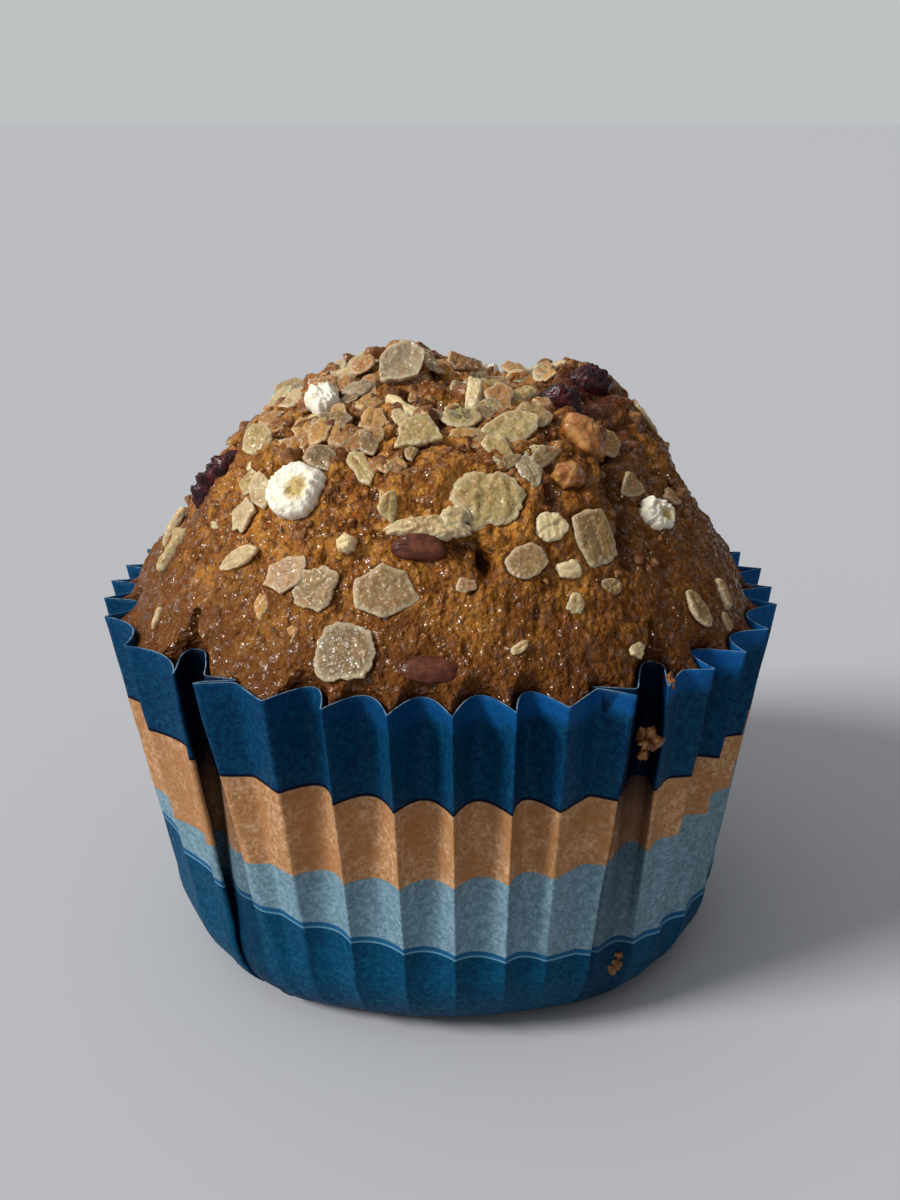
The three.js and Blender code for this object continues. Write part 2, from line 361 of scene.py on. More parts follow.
class Wiring:
    """A node tree, with short ways to add and join its nodes."""

    def __init__(self, tree: bpy.types.NodeTree) -> None:
        """Works on a tree."""
        self.tree = tree

    def node(self, kind: str, inputs: dict | None = None, **settings: object) -> bpy.types.Node:
        """Adds one node.

        Args:
            kind: The node's type name, without its leading ShaderNode.
            inputs: A value or another node's output for inputs, by name or number.
            settings: The node's own settings.

        Returns:
            The node.
        """
        made = self.tree.nodes.new(kind if kind.startswith("Node") else "ShaderNode" + kind)
        for name, value in settings.items():
            setattr(made, name, value)
        for name, value in (inputs or {}).items():
            self.feed(made.inputs[name], value)
        return made

    def feed(self, socket: bpy.types.NodeSocket, value: object) -> None:
        """Links an output to a socket, or sets the socket's value.

        Args:
            socket: The input to be fed.
            value: Another node's output, a number, or a colour of three or four numbers.
        """
        if isinstance(value, bpy.types.NodeSocket):
            self.tree.links.new(value, socket)
        elif isinstance(value, tuple) and len(value) == 3 and len(socket.default_value) == 4:
            socket.default_value = (*value, 1)
        else:
            socket.default_value = value

    def blend(self, share: object, a: object, b: object, how: str = "MIX") -> bpy.types.NodeSocket:
        """Mixes two colours by a share from 0 to 1."""
        return self.node("Mix", {0: share, 6: a, 7: b}, data_type="RGBA", blend_type=how).outputs[2]

    def maths(self, how: str, a: object, b: object = 0.0) -> bpy.types.NodeSocket:
        """One sum of two values."""
        return self.node("Math", {0: a, 1: b}, operation=how).outputs[0]

    def step(self, value: object, low: object, high: object, to: tuple = (0.0, 1.0)) -> bpy.types.NodeSocket:
        """A soft step of a value between two limits, to two other values."""
        ends = {"Value": value, "From Min": low, "From Max": high, "To Min": to[0], "To Max": to[1]}
        return self.node("MapRange", ends, interpolation_type="SMOOTHSTEP").outputs[0]

    def noise(
        self, place: object, scale: object, detail: float = 2.0, **settings: float
    ) -> bpy.types.NodeSocket:
        """Noise from 0 to 1, with scale in swells for each millimetre."""
        inputs = {"Vector": place, "Scale": scale, "Detail": detail, **settings}
        return self.node("TexNoise", inputs).outputs[0]

    def stored(self, name: str) -> bpy.types.Node:
        """The node of a value or colour stored on the mesh."""
        return self.node("Attribute", attribute_name=name)

    def millimetres(self) -> bpy.types.NodeSocket:
        """The place on the surface in the row frame, in millimetres."""
        place = self.node("TexCoord").outputs["Object"]
        return self.node("VectorMath", {0: place, 3: 1 / MM}, operation="SCALE").outputs[0]


def shared_group(
    name: str, inputs: dict[str, object], outputs: dict[str, str]
) -> tuple[Wiring, dict[str, bpy.types.NodeSocket], bpy.types.Node]:
    """Starts a shader node group.

    Args:
        name: The group's name.
        inputs: Default values by socket name: a number, a colour of four, or None for a vector.
        outputs: Socket kinds by name, Float or Color.

    Returns:
        The wiring of the group's tree, its inputs by name, and its output node.
    """
    tree = bpy.data.node_groups.new(name, "ShaderNodeTree")
    for label, value in inputs.items():
        kind = "Vector" if value is None else "Color" if isinstance(value, tuple) else "Float"
        socket = tree.interface.new_socket(name=label, in_out="INPUT", socket_type="NodeSocket" + kind)
        if value is not None:
            socket.default_value = value
    for label, kind in outputs.items():
        tree.interface.new_socket(name=label, in_out="OUTPUT", socket_type="NodeSocket" + kind)
    wiring = Wiring(tree)
    start = wiring.node("NodeGroupInput")
    return wiring, {s.name: s for s in start.outputs if s.name}, wiring.node("NodeGroupOutput")


class SharedEffects:
    """The effects that more than one material uses, each built once as a node group."""

    def __init__(self) -> None:
        """Builds the groups."""
        self.grain = self.build_grain()
        self.mottle = self.build_mottle()
        self.glints = self.build_glints()

    def build_grain(self) -> bpy.types.NodeTree:
        """Fine relief of crumb, flour or fibre.

        Returns:
            The group, which puts out a height from 0 to 1.
        """
        wiring, given, end = shared_group(
            "fine_grain", {"Place": None, "Scale": 2.0, "Coarse share": 0.5}, {"Height": "Float"}
        )
        where = {"Vector": given["Place"], "Scale": given["Scale"]}
        fine = wiring.node("TexNoise", {**where, "Detail": 1.0}).outputs[0]
        cells = wiring.node("TexVoronoi", where, feature="SMOOTH_F1").outputs["Distance"]
        mixed = wiring.node("Mix", {0: given["Coarse share"], 2: fine, 3: cells})
        wiring.feed(end.inputs["Height"], mixed.outputs[0])
        return wiring.tree

    def build_mottle(self) -> bpy.types.NodeTree:
        """Two colours in soft patches of several sizes.

        Returns:
            The group, which puts out the colour, and a mask of where the second colour lies.
        """
        wiring, given, end = shared_group(
            "mottle",
            {
                "Place": None,
                "Scale": 0.3,
                "Low": 0.4,
                "High": 0.6,
                "First": (1, 1, 1, 1),
                "Second": (0, 0, 0, 1),
            },
            {"Colour": "Color", "Mask": "Float"},
        )
        mask = wiring.step(wiring.noise(given["Place"], given["Scale"], 5.0), given["Low"], given["High"])
        wiring.feed(end.inputs["Colour"], wiring.blend(mask, given["First"], given["Second"]))
        wiring.feed(end.inputs["Mask"], mask)
        return wiring.tree

    def build_glints(self) -> bpy.types.NodeTree:
        """Roughness that drops in small scattered spots, where sugar or fat shines.

        Returns:
            The group, which puts out the roughness.
        """
        wiring, given, end = shared_group(
            "glints", {"Place": None, "Scale": 3.0, "Dull": 0.6, "Shiny": 0.2}, {"Roughness": "Float"}
        )
        spots = wiring.step(wiring.noise(given["Place"], given["Scale"]), 0.42, 0.62)
        mixed = wiring.node("Mix", {0: spots, 2: given["Dull"], 3: given["Shiny"]})
        wiring.feed(end.inputs["Roughness"], mixed.outputs[0])
        return wiring.tree


@dataclass(frozen=True)
class Finish:
    """What every finish has: a name, and how light goes into and off it."""

    name: str
    effects: SharedEffects
    scatter: float = 0.0
    scatter_depth: float = 0.6
    scatter_colour: Colour = (1.0, 0.4, 0.12)
    specular: float = 0.25
    specular_tint: Colour = (1.0, 1.0, 1.0)
    coat_roughness: float = 0.2
    coat_ior: float = 1.4

    def start(self) -> tuple[bpy.types.Material, Wiring, bpy.types.Node]:
        """Starts the material and sets its shader's plain values.

        Returns:
            The material, its wiring and its Principled shader.
        """
        material = bpy.data.materials.new(self.name)
        material.use_nodes = True
        wiring = Wiring(material.node_tree)
        shader = material.node_tree.nodes["Principled BSDF"]
        shader.inputs["Subsurface Weight"].default_value = self.scatter
        shader.inputs["Subsurface Radius"].default_value = self.scatter_colour
        shader.inputs["Subsurface Scale"].default_value = self.scatter_depth * MM
        shader.inputs["Specular IOR Level"].default_value = self.specular
        shader.inputs["Specular Tint"].default_value = (*self.specular_tint, 1)
        shader.inputs["Coat Roughness"].default_value = self.coat_roughness
        shader.inputs["Coat IOR"].default_value = self.coat_ior
        return material, wiring, shader

    def group(self, wiring: Wiring, tree: bpy.types.NodeTree, **inputs: object) -> bpy.types.Node:
        """Places a shared effect with this finish's own values.

        Args:
            wiring: The material's wiring.
            tree: The effect's node group.
            inputs: Values by socket name, with an underscore for each space.

        Returns:
            The group's node in the material.
        """
        made = wiring.tree.nodes.new("ShaderNodeGroup")
        made.node_tree = tree
        for name, value in inputs.items():
            wiring.feed(made.inputs[name.replace("_", " ")], value)
        return made

    def bump(self, wiring: Wiring, shader: bpy.types.Node, height: object, depth: float) -> None:
        """Feeds a height to the shader's normal.

        Args:
            wiring: The material's wiring.
            shader: The material's shader.
            height: A height from 0 to 1.
            depth: What a height of 1 stands for, in millimetres.
        """
        made = wiring.node("Bump", {"Height": height, "Distance": depth * MM, "Strength": 1.0})
        wiring.feed(shader.inputs["Normal"], made.outputs[0])
        wiring.feed(shader.inputs["Coat Normal"], made.outputs[0])


@dataclass(frozen=True)
class CrustFinish(Finish):
    """Baked crumb: amber, with painted shade in its creases; red-brown and darker near the paper, where damp
    crumb and painted shade meet, and painted shade over its right side.
    """

    amber: Colour = (0.185, 0.055, 0.007)
    golden: Colour = (0.41, 0.17, 0.027)
    tan: Colour = (0.3, 0.18, 0.08)
    # Dark brown: random specks, and the painted shade in creases, grooves and pits.
    dark: Colour = (0.045, 0.012, 0.003)
    ruddy: Colour = (0.06, 0.014, 0.009)
    moist: Colour = (0.09, 0.025, 0.004)
    patch_scale: float = 0.46
    speck_scale: float = 1.6
    pale_scale: float = 1.4
    glint_scale: float = 1.1
    sugar_scale: float = 1.3
    grain_scale: float = 1.8
    grain_depth: float = 0.56

    def material(self) -> bpy.types.Material:
        """Builds the material.

        Returns:
            The material.
        """
        made, wiring, shader = self.start()
        place = wiring.millimetres()
        tones = {"First": (*self.amber, 1), "Second": (*self.golden, 1)}
        patches = self.group(
            wiring, self.effects.mottle, Place=place, Scale=self.patch_scale, Low=0.4, High=0.62, **tones
        )
        specks = wiring.step(wiring.noise(place, self.speck_scale, 4.0), 0.48, 0.62)
        colour = wiring.blend(wiring.maths("MULTIPLY", specks, 0.7), patches.outputs["Colour"], self.dark)
        pale = wiring.step(wiring.noise(place, self.pale_scale, 5.0, Distortion=0.4), 0.5, 0.66)
        colour = wiring.blend(wiring.maths("MULTIPLY", pale, 0.6), colour, self.golden)
        high = wiring.maths("MULTIPLY", wiring.stored("craggy").outputs["Fac"], pale)
        colour = wiring.blend(wiring.maths("MULTIPLY", high, 0.85), colour, self.tan)
        # Darker red-brown: damp crumb near the paper with painted shade, and painted shade over the right
        # side.
        colour = wiring.blend(wiring.stored("moist").outputs["Fac"], colour, self.moist)
        colour = wiring.blend(wiring.stored("gold").outputs["Fac"], colour, self.golden)
        # Red-brown patches: berry stains, and round the berries on the right painted shade.
        colour = wiring.blend(wiring.stored("ruddy").outputs["Fac"], colour, self.ruddy)
        # Painted shade: darker in creases, grooves and pits, and on the crumb's side inside the paper.
        colour = wiring.blend(wiring.stored("hollow").outputs["Fac"], colour, self.dark)
        wiring.feed(shader.inputs["Base Color"], colour)
        levels = {"Scale": self.glint_scale, "Dull": 0.7, "Shiny": 0.22}
        glints = self.group(wiring, self.effects.glints, Place=place, **levels)
        wiring.feed(shader.inputs["Roughness"], glints.outputs[0])
        sugared = wiring.step(wiring.noise(place, self.sugar_scale, 4.0), 0.52, 0.6)
        wiring.feed(shader.inputs["Coat Weight"], sugared)
        grain = self.group(wiring, self.effects.grain, Place=place, Scale=self.grain_scale, Coarse_share=0.1)
        self.bump(wiring, shader, grain.outputs[0], self.grain_depth)
        return made


@dataclass(frozen=True)
class FlakeFinish(Finish):
    """A rolled oat flake or a sliver of one: its own tint, floury specks and a crimped rim painted paler, as
    painted light shining through it.
    """

    flour_and_rim_light: Colour = (0.74, 0.66, 0.47)
    syrup: Colour = (0.3, 0.15, 0.045)
    soak_scale: float = 0.75
    speck_scale: float = 2.8
    glint_scale: float = 2.4
    sheen_scale: float = 1.6
    grain_scale: float = 2.1
    grain_depth: float = 0.2

    def material(self) -> bpy.types.Material:
        """Builds the material.

        Returns:
            The material.
        """
        made, wiring, shader = self.start()
        place = wiring.millimetres()
        tint = wiring.stored("tint").outputs["Color"]
        edge = wiring.stored("edge").outputs["Fac"]
        soaked = wiring.step(wiring.noise(place, self.soak_scale, 3.0), 0.46, 0.7)
        colour = wiring.blend(wiring.maths("MULTIPLY", soaked, 0.5), tint, self.syrup)
        specks = wiring.step(wiring.noise(place, self.speck_scale, 4.0), 0.52, 0.68)
        colour = wiring.blend(wiring.maths("MULTIPLY", specks, 0.3), colour, self.flour_and_rim_light)
        # Painted light: the thin rim painted paler, as if light shone through it.
        colour = wiring.blend(wiring.maths("MULTIPLY", edge, 0.35), colour, self.flour_and_rim_light)
        wiring.feed(shader.inputs["Base Color"], colour)
        levels = {"Scale": self.glint_scale, "Dull": 0.55, "Shiny": 0.2}
        glints = self.group(wiring, self.effects.glints, Place=place, **levels)
        wiring.feed(shader.inputs["Roughness"], glints.outputs[0])
        sheen = wiring.step(wiring.noise(place, self.sheen_scale, 3.0), 0.54, 0.64)
        wiring.feed(shader.inputs["Coat Weight"], sheen)
        grain = self.group(wiring, self.effects.grain, Place=place, Scale=self.grain_scale, Coarse_share=0.1)
        self.bump(wiring, shader, grain.outputs[0], self.grain_depth)
        return made


@dataclass(frozen=True)
class PuffFinish(Finish):
    """Puffed grain: airy white, with a yellowish heart."""

    white: Colour = (0.83, 0.78, 0.64)
    heart: Colour = (0.5, 0.37, 0.14)
    shade: Colour = (0.6, 0.47, 0.27)
    patch_scale: float = 1.1
    roughness: float = 0.72
    grain_scale: float = 4.0
    grain_depth: float = 0.14

    def material(self) -> bpy.types.Material:
        """Builds the material.

        Returns:
            The material.
        """
        made, wiring, shader = self.start()
        place = wiring.millimetres()
        tones = {"First": (*self.white, 1), "Second": (*self.shade, 1)}
        patches = self.group(
            wiring, self.effects.mottle, Place=place, Scale=self.patch_scale, Low=0.55, High=0.78, **tones
        )
        colour = wiring.blend(wiring.stored("edge").outputs["Fac"], patches.outputs["Colour"], self.heart)
        wiring.feed(shader.inputs["Base Color"], colour)
        shader.inputs["Roughness"].default_value = self.roughness
        grain = self.group(wiring, self.effects.grain, Place=place, Scale=self.grain_scale, Coarse_share=0.5)
        self.bump(wiring, shader, grain.outputs[0], self.grain_depth)
        return made


@dataclass(frozen=True)
class GlossyFinish(Finish):
    """Darker and lighter patches under a sheen: berries, almond skin, candied nut, crumbs and sugar."""

    first: Colour = (0.05, 0.008, 0.01)
    second: Colour = (0.14, 0.02, 0.02)
    patch_scale: float = 0.9
    glint_scale: float = 2.2
    dull: float = 0.42
    shiny: float = 0.18
    grain_scale: float = 2.5
    grain_depth: float = 0.12
    coat: float = 0.0

    def material(self) -> bpy.types.Material:
        """Builds the material.

        Returns:
            The material.
        """
        made, wiring, shader = self.start()
        place = wiring.millimetres()
        tones = {"First": (*self.first, 1), "Second": (*self.second, 1)}
        patches = self.group(
            wiring, self.effects.mottle, Place=place, Scale=self.patch_scale, Low=0.4, High=0.66, **tones
        )
        wiring.feed(shader.inputs["Base Color"], patches.outputs["Colour"])
        shader.inputs["Coat Weight"].default_value = self.coat
        levels = {"Scale": self.glint_scale, "Dull": self.dull, "Shiny": self.shiny}
        glints = self.group(wiring, self.effects.glints, Place=place, **levels)
        wiring.feed(shader.inputs["Roughness"], glints.outputs[0])
        grain = self.group(wiring, self.effects.grain, Place=place, Scale=self.grain_scale, Coarse_share=0.4)
        self.bump(wiring, shader, grain.outputs[0], self.grain_depth)
        return made


@dataclass(frozen=True)
class Band:
    """A printed band's lower edge on the paper: its height at the middle, and how it tilts towards +X."""

    height: float
    tilt: float


@dataclass(frozen=True)
class PaperFinish(Finish):
    """Greaseproof paper printed in bands: deep blue, plain brown, pale blue and deep blue."""

    navy: Colour = (0.0008, 0.022, 0.066)
    navy_worn: Colour = (0.003, 0.07, 0.14)
    deep: Colour = (0.0005, 0.033, 0.083)
    deep_worn: Colour = (0.003, 0.085, 0.16)
    brown: Colour = (0.33, 0.15, 0.055)
    brown_pale: Colour = (0.62, 0.41, 0.25)
    pale: Colour = (0.105, 0.185, 0.23)
    pale_fibre: Colour = (0.235, 0.36, 0.43)
    # Near black: the dark printed line under the top band, and the painted shade deep in the tucks.
    dark_line_and_fold_shade: Colour = (0.001, 0.005, 0.018)
    line_blue: Colour = (0.01, 0.085, 0.19)
    line_pale: Colour = (0.1, 0.25, 0.36)
    lit: Colour = (0.006, 0.1, 0.36)
    fibre_scale: float = 1.7
    cloud_scale: float = 0.35
    grain_scale: float = 2.4
    grain_depth: float = 0.09
    lit_from: float = 36.4
    upper: Band = Band(29.7, -0.045)
    middle: Band = Band(20.9, 0.024)
    lower: Band = Band(12.0, -0.135)

    def material(self) -> bpy.types.Material:
        """Builds the material.

        Returns:
            The material.
        """
        made, wiring, shader = self.start()
        place = wiring.millimetres()
        parts = wiring.node("SeparateXYZ", {0: place}).outputs
        over = {k: self.above(wiring, parts, band) for k, band in self.bands().items()}
        strands = wiring.noise(place, self.fibre_scale, 9.0, Distortion=0.5, Roughness=0.74)
        fibres = wiring.step(strands, 0.38, 0.7)
        broad = wiring.noise(place, self.cloud_scale, 3.0)
        worn = wiring.maths("MULTIPLY", fibres, 0.85)
        bottom = wiring.blend(worn, self.deep, self.deep_worn)
        light = wiring.blend(fibres, self.pale, self.pale_fibre)
        oily = wiring.step(broad, 0.35, 0.65, (0.25, 0.95))
        plain = wiring.blend(wiring.maths("MULTIPLY", fibres, oily), self.brown, self.brown_pale)
        top = wiring.blend(worn, self.navy, self.navy_worn)
        colour = wiring.blend(self.crossing(wiring, over["lower"], 0.0), bottom, self.line_pale)
        colour = wiring.blend(self.crossing(wiring, over["lower"], 0.22), colour, self.line_blue)
        colour = wiring.blend(self.crossing(wiring, over["lower"], 0.75), colour, light)
        colour = wiring.blend(self.crossing(wiring, over["middle"], 0.0), colour, plain)
        colour = wiring.blend(self.crossing(wiring, over["upper"], 0.0), colour, self.dark_line_and_fold_shade)
        colour = wiring.blend(self.crossing(wiring, over["upper"], 0.35), colour, top)
        # Painted light: a brighter blue near the rim on the right, where light shines through the paper.
        colour = wiring.blend(self.rim_light(wiring, parts, broad), colour, self.lit)
        # Painted shade: deep in the tucks the sheet is painted near black, the more so higher up.
        dark = wiring.step(parts["Z"], 24.0, 30.5, (0.5, 0.97))
        tucked = wiring.maths("MULTIPLY", wiring.stored("tucked").outputs["Fac"], dark)
        colour = wiring.blend(tucked, colour, self.dark_line_and_fold_shade)
        wiring.feed(shader.inputs["Base Color"], colour)
        rough = wiring.step(fibres, 0.0, 1.0, (0.62, 0.45))
        wiring.feed(shader.inputs["Roughness"], rough)
        grain = self.group(wiring, self.effects.grain, Place=place, Scale=self.grain_scale, Coarse_share=0.3)
        self.bump(wiring, shader, grain.outputs[0], self.grain_depth)
        return made

    def bands(self) -> dict[str, Band]:
        """The bands' lower edges by name."""
        return {"upper": self.upper, "middle": self.middle, "lower": self.lower}

    def above(self, wiring: Wiring, parts: object, band: Band) -> bpy.types.NodeSocket:
        """Height of the surface over a band's tilted lower edge.

        Args:
            wiring: The material's wiring.
            parts: The place on the surface, split into X, Y and Z.
            band: The band.

        Returns:
            The height in millimetres.
        """
        tilted = wiring.maths("MULTIPLY_ADD", parts["X"], band.tilt)
        tilted.node.inputs[2].default_value = band.height
        return wiring.maths("SUBTRACT", parts["Z"], tilted)

    def crossing(self, wiring: Wiring, over: object, level: float) -> bpy.types.NodeSocket:
        """A crisp printed edge at a level over a band's lower edge."""
        return wiring.step(over, level - 0.05, level + 0.05)

    def rim_light(self, wiring: Wiring, parts: object, broad: object) -> bpy.types.NodeSocket:
        """How much light the paper passes near the rim, where it has no crumb behind it.

        Args:
            wiring: The material's wiring.
            parts: The place on the surface, split into X, Y and Z.
            broad: Broad noise that makes the limit wavy.

        Returns:
            A share from 0 to 1.
        """
        wavy = wiring.maths("MULTIPLY_ADD", broad, 3.0)
        wavy.node.inputs[2].default_value = self.lit_from
        high = wiring.step(wiring.maths("SUBTRACT", parts["Z"], wavy), 0.0, 1.6)
        side = wiring.step(parts["X"], -14.0, 14.0, (0.05, 0.4))
        return wiring.maths("MULTIPLY", high, side)


@dataclass(frozen=True)
class EdgeFinish(Finish):
    """The paper's cut edge: pale, with the print's blue creeping into it."""

    first: Colour = (0.17, 0.26, 0.34)
    second: Colour = (0.03, 0.1, 0.2)
    patch_scale: float = 0.9
    roughness: float = 0.7

    def material(self) -> bpy.types.Material:
        """Builds the material.

        Returns:
            The material.
        """
        made, wiring, shader = self.start()
        tones = {"First": (*self.first, 1), "Second": (*self.second, 1)}
        place = wiring.millimetres()
        patches = self.group(
            wiring, self.effects.mottle, Place=place, Scale=self.patch_scale, Low=0.45, High=0.6, **tones
        )
        wiring.feed(shader.inputs["Base Color"], patches.outputs["Colour"])
        shader.inputs["Roughness"].default_value = self.roughness
        return made


# The paper case


@dataclass(frozen=True)
class Fold:
    """A corner of the paper's outline: azimuth and inset at the rim, azimuth at the foot, and its painted
    shade.
    """

    rim: float
    inset: float
    foot: float
    shade: float = 0.0


@dataclass(frozen=True)
class Columns:
    """The sheet's columns: azimuth at the rim and at the foot, inset at the rim, and painted shade, for each.
    """

    rim: Array
    foot: Array
    inset: Array
    shade: Array


@dataclass
class PaperCase:
    """The pleated case: one thin sheet, fluted, with four tucks where it is folded over itself.

    The ridges of the flutes are azimuths in degrees, from the front towards +X.
    """

    rim_radius: float = 38.0
    shoulder_radius: float = 32.4
    foot_radius: float = 25.0
    lean: float = 0.7
    thickness: float = 0.13
    flute_depth: float = 5.0
    flute_pitch: float = 9.0
    flute_fade: float = 1.12
    flute_steps: tuple[float, ...] = (0, 0.05, 0.12, 0.22, 0.34, 0.46, 0.58, 0.7, 0.81, 0.9, 0.96)
    spacing: float = 0.46
    softness: float = 0.4
    front_dent: float = 1.8
    dent_height: float = 8.0
    wander: float = 0.28
    wander_size: float = 7.0
    rim_wave: float = 0.25
    rim_wave_size: float = 6.0
    glance: float = 1.1
    front: tuple[float, ...] = (-25.5, -16.5, -7, 2, 11, 18.5)
    right: tuple[float, ...] = (45.5, 54.5, 66, 78, 87, 96.5, 106, 115, 124, 137)
    back: tuple[float, ...] = (154.5, 163, 172, 181, 190, 199, 207.5)
    left: tuple[float, ...] = (234, 243, 252, 261, 270, 279.5, 288, 302.4, 317.3)
    foot_levels: tuple[float, ...] = (0.0, 0.25, 0.7, 1.4, 2.4, 3.6, 5.0, 6.6, 8.3)
    wall_rings: int = 22
    floor_rings: tuple[float, ...] = (8.0, 16.0, 22.0)
    noise: Noise = field(default_factory=lambda: Noise(11))

    def flutes(self, ridges: tuple[float, ...]) -> list[Fold]:
        """Folds of plain flutes from the first ridge up to, but without, the last one.

        Args:
            ridges: The ridges' azimuths.

        Returns:
            The folds in order.
        """
        folds = []
        for a, b in zip(ridges, ridges[1:]):
            depth = self.flute_depth * min(1, self.flute_pitch / (b - a)) ** 1.5
            for share in self.flute_steps:
                azimuth = a + (b - a) * share
                folds.append(Fold(azimuth, depth * math.sin(math.pi * share) ** 0.8, azimuth))
        return folds

    def opening_tuck(self, side: float, edge: float) -> list[Fold]:
        """Folds from a side ridge back under a panel, up to the panel's first hollow.

        Args:
            side: The side ridge's azimuth.
            edge: The panel edge's azimuth.

        Returns:
            The folds in order.
        """
        return [
            Fold(side, 0, side - 6),
            Fold(side - 0.9, 0.9, side - 5.8, 0.9),
            Fold(side - 6, 3.9, side - 5.4, 1),
            Fold(side - 7.2, 5.6, side - 4.8, 1),
            Fold(side - 5, 6.2, side - 3.8, 1),
            Fold(side + 0.4, 3.9, side - 1.4, 1),
            Fold(edge - 0.7, 1.7, side + 2.2, 0.95),
            Fold(edge + 5, 3.1, side + 7, 0.45),
            Fold(edge + 0.5, 0.7, side + 6.4, 0.25),
            Fold(edge, -0.5, edge + 6.7),
            Fold(edge + 5.1, 2.5, edge + 8.6),
        ]

    def closing_tuck(self, edge: float, side: float) -> list[Fold]:
        """Folds from a panel's last hollow over its edge and back, up to the side ridge.

        Args:
            edge: The panel edge's azimuth.
            side: The side ridge's azimuth.

        Returns:
            The folds in order.
        """
        return [
            Fold(edge - 4, 3.4, edge - 5),
            Fold(edge, 0, edge - 2.8),
            Fold(edge - 0.5, 0.8, edge - 2.5, 0.5),
            Fold(edge - 5, 4.1, edge - 2.2, 0.8),
            Fold(edge + 1.4, 1.4, edge - 0.8, 0.95),
            Fold(edge + 8.1, 5.6, edge + 2.2, 1),
            Fold(edge + 10.4, 5.8, edge + 3.8, 1),
            Fold(side + 5.8, 4.3, edge + 5.4, 1),
            Fold(side + 0.8, 0.8, side + 3, 0.85),
            Fold(side, 0, side + 3.7),
            Fold(side + 6.4, 2.2, side + 6.6),
        ]

    def outline(self) -> list[Fold]:
        """Lists all folds round the case, starting at the front panel's first ridge.

        Returns:
            The folds in order.
        """
        return [
            *self.flutes(self.front),
            Fold(self.front[-1], 0, self.front[-1]),
            *self.closing_tuck(29.9, 35.1),
            *self.flutes(self.right),
            *self.opening_tuck(137, 142),
            *self.flutes(self.back),
            Fold(self.back[-1], 0, self.back[-1]),
            *self.closing_tuck(218.5, 223.0),
            *self.flutes(self.left),
            *self.opening_tuck(317.3, 321.8),
        ]

    def ridge_radius(self, z: float) -> float:
        """Radius of the ridges at a height.

        Args:
            z: The height.

        Returns:
            The radius.
        """
        if z >= SHOULDER_HEIGHT:
            up = (z - SHOULDER_HEIGHT) / (CASE_HEIGHT - SHOULDER_HEIGHT)
            return self.shoulder_radius + (self.rim_radius - self.shoulder_radius) * up
        down = 1 - z / SHOULDER_HEIGHT
        return self.foot_radius + (self.shoulder_radius - self.foot_radius) * math.sqrt(1 - down * down)

    @cached_property
    def columns(self) -> Columns:
        """The outline in even small steps, with its corners softened.

        Returns:
            The sheet's columns.
        """
        folds = self.outline()
        rows = np.array([(fold.rim, fold.inset, fold.foot, fold.shade) for fold in folds])
        rows = np.vstack([rows, rows[0] + (360, 0, 360, 0)])
        angle, radius = np.radians(rows[:, 0]), self.rim_radius - rows[:, 1]
        x, y = radius * np.sin(angle), -radius * np.cos(angle)
        far = np.concatenate([[0], np.cumsum(np.hypot(np.diff(x), np.diff(y)))])
        count = int(far[-1] / self.spacing)
        steps = np.arange(count) * far[-1] / count
        spread = np.fft.fftfreq(count, far[-1] / count)
        soften = np.exp(-2 * (np.pi * spread * self.softness) ** 2)
        turn = steps / far[-1] * 360

        def even(values: Array, rises: float) -> Array:
            """Softens values at even steps, where they rise by rises for each degree of turn."""
            level = np.interp(steps, far, values) - turn * rises
            return np.fft.ifft(np.fft.fft(level) * soften).real + turn * rises

        x, y = even(x, 0), even(y, 0)
        rough = np.interp(steps, far, rows[:, 0])
        azimuth = np.degrees(np.arctan2(x, -y))
        azimuth += 360 * np.round((rough - azimuth) / 360)
        shade = np.interp(steps, far, rows[:, 3])
        return Columns(azimuth, even(rows[:, 2], 1), self.rim_radius - np.hypot(x, y), shade)

    def ring(self, z: float) -> Array:
        """The sheet's outline at a height.

        Args:
            z: The height.

        Returns:
            Points as rows.
        """
        rim, foot, inset = self.columns.rim, self.columns.foot, self.columns.inset
        up = z / CASE_HEIGHT
        angle = np.radians(foot + (rim - foot) * up)
        radius = self.ridge_radius(z) - inset * max(up, 0.004) ** self.flute_fade
        direction = np.stack([np.sin(angle), -np.cos(angle), np.full_like(angle, z / 30)], axis=1)
        radius = radius + self.wander * up * self.noise.at(direction * 30, self.wander_size)
        in_front = smooth_step(direction[:, 1], -0.8, -1.0)
        radius = radius - self.front_dent * in_front * max(0, 1 - z / self.dent_height)
        shift = self.lean * (1 - up)
        wave = self.rim_wave * self.noise.at(direction * 30, self.rim_wave_size)
        wave = wave * smooth_step(np.array(z), 30, CASE_HEIGHT)
        return np.stack([direction[:, 0] * radius + shift, direction[:, 1] * radius, z + wave], axis=1)

    def levels(self) -> list[float]:
        """Heights of the sheet's rings, closer where it turns under."""
        wall = np.linspace(SHOULDER_HEIGHT, CASE_HEIGHT - 1.2, self.wall_rings).tolist()
        return [*self.foot_levels, *wall, CASE_HEIGHT - 0.6, CASE_HEIGHT - 0.12]

    def narrowest(self, z: float, azimuths: Array) -> Array:
        """The sheet's least distance from the case's middle line.

        Args:
            z: A height.
            azimuths: Directions in degrees.

        Returns:
            One distance for each azimuth.
        """
        ring = self.ring(z)
        ring[:, 0] -= self.lean * (1 - z / CASE_HEIGHT)
        own = np.degrees(np.arctan2(ring[:, 0], -ring[:, 1]))
        near = np.abs((azimuths[:, None] - own[None, :] + 180) % 360 - 180) < self.glance
        return np.where(near, np.hypot(ring[:, 0], ring[:, 1])[None, :], 99).min(axis=1)

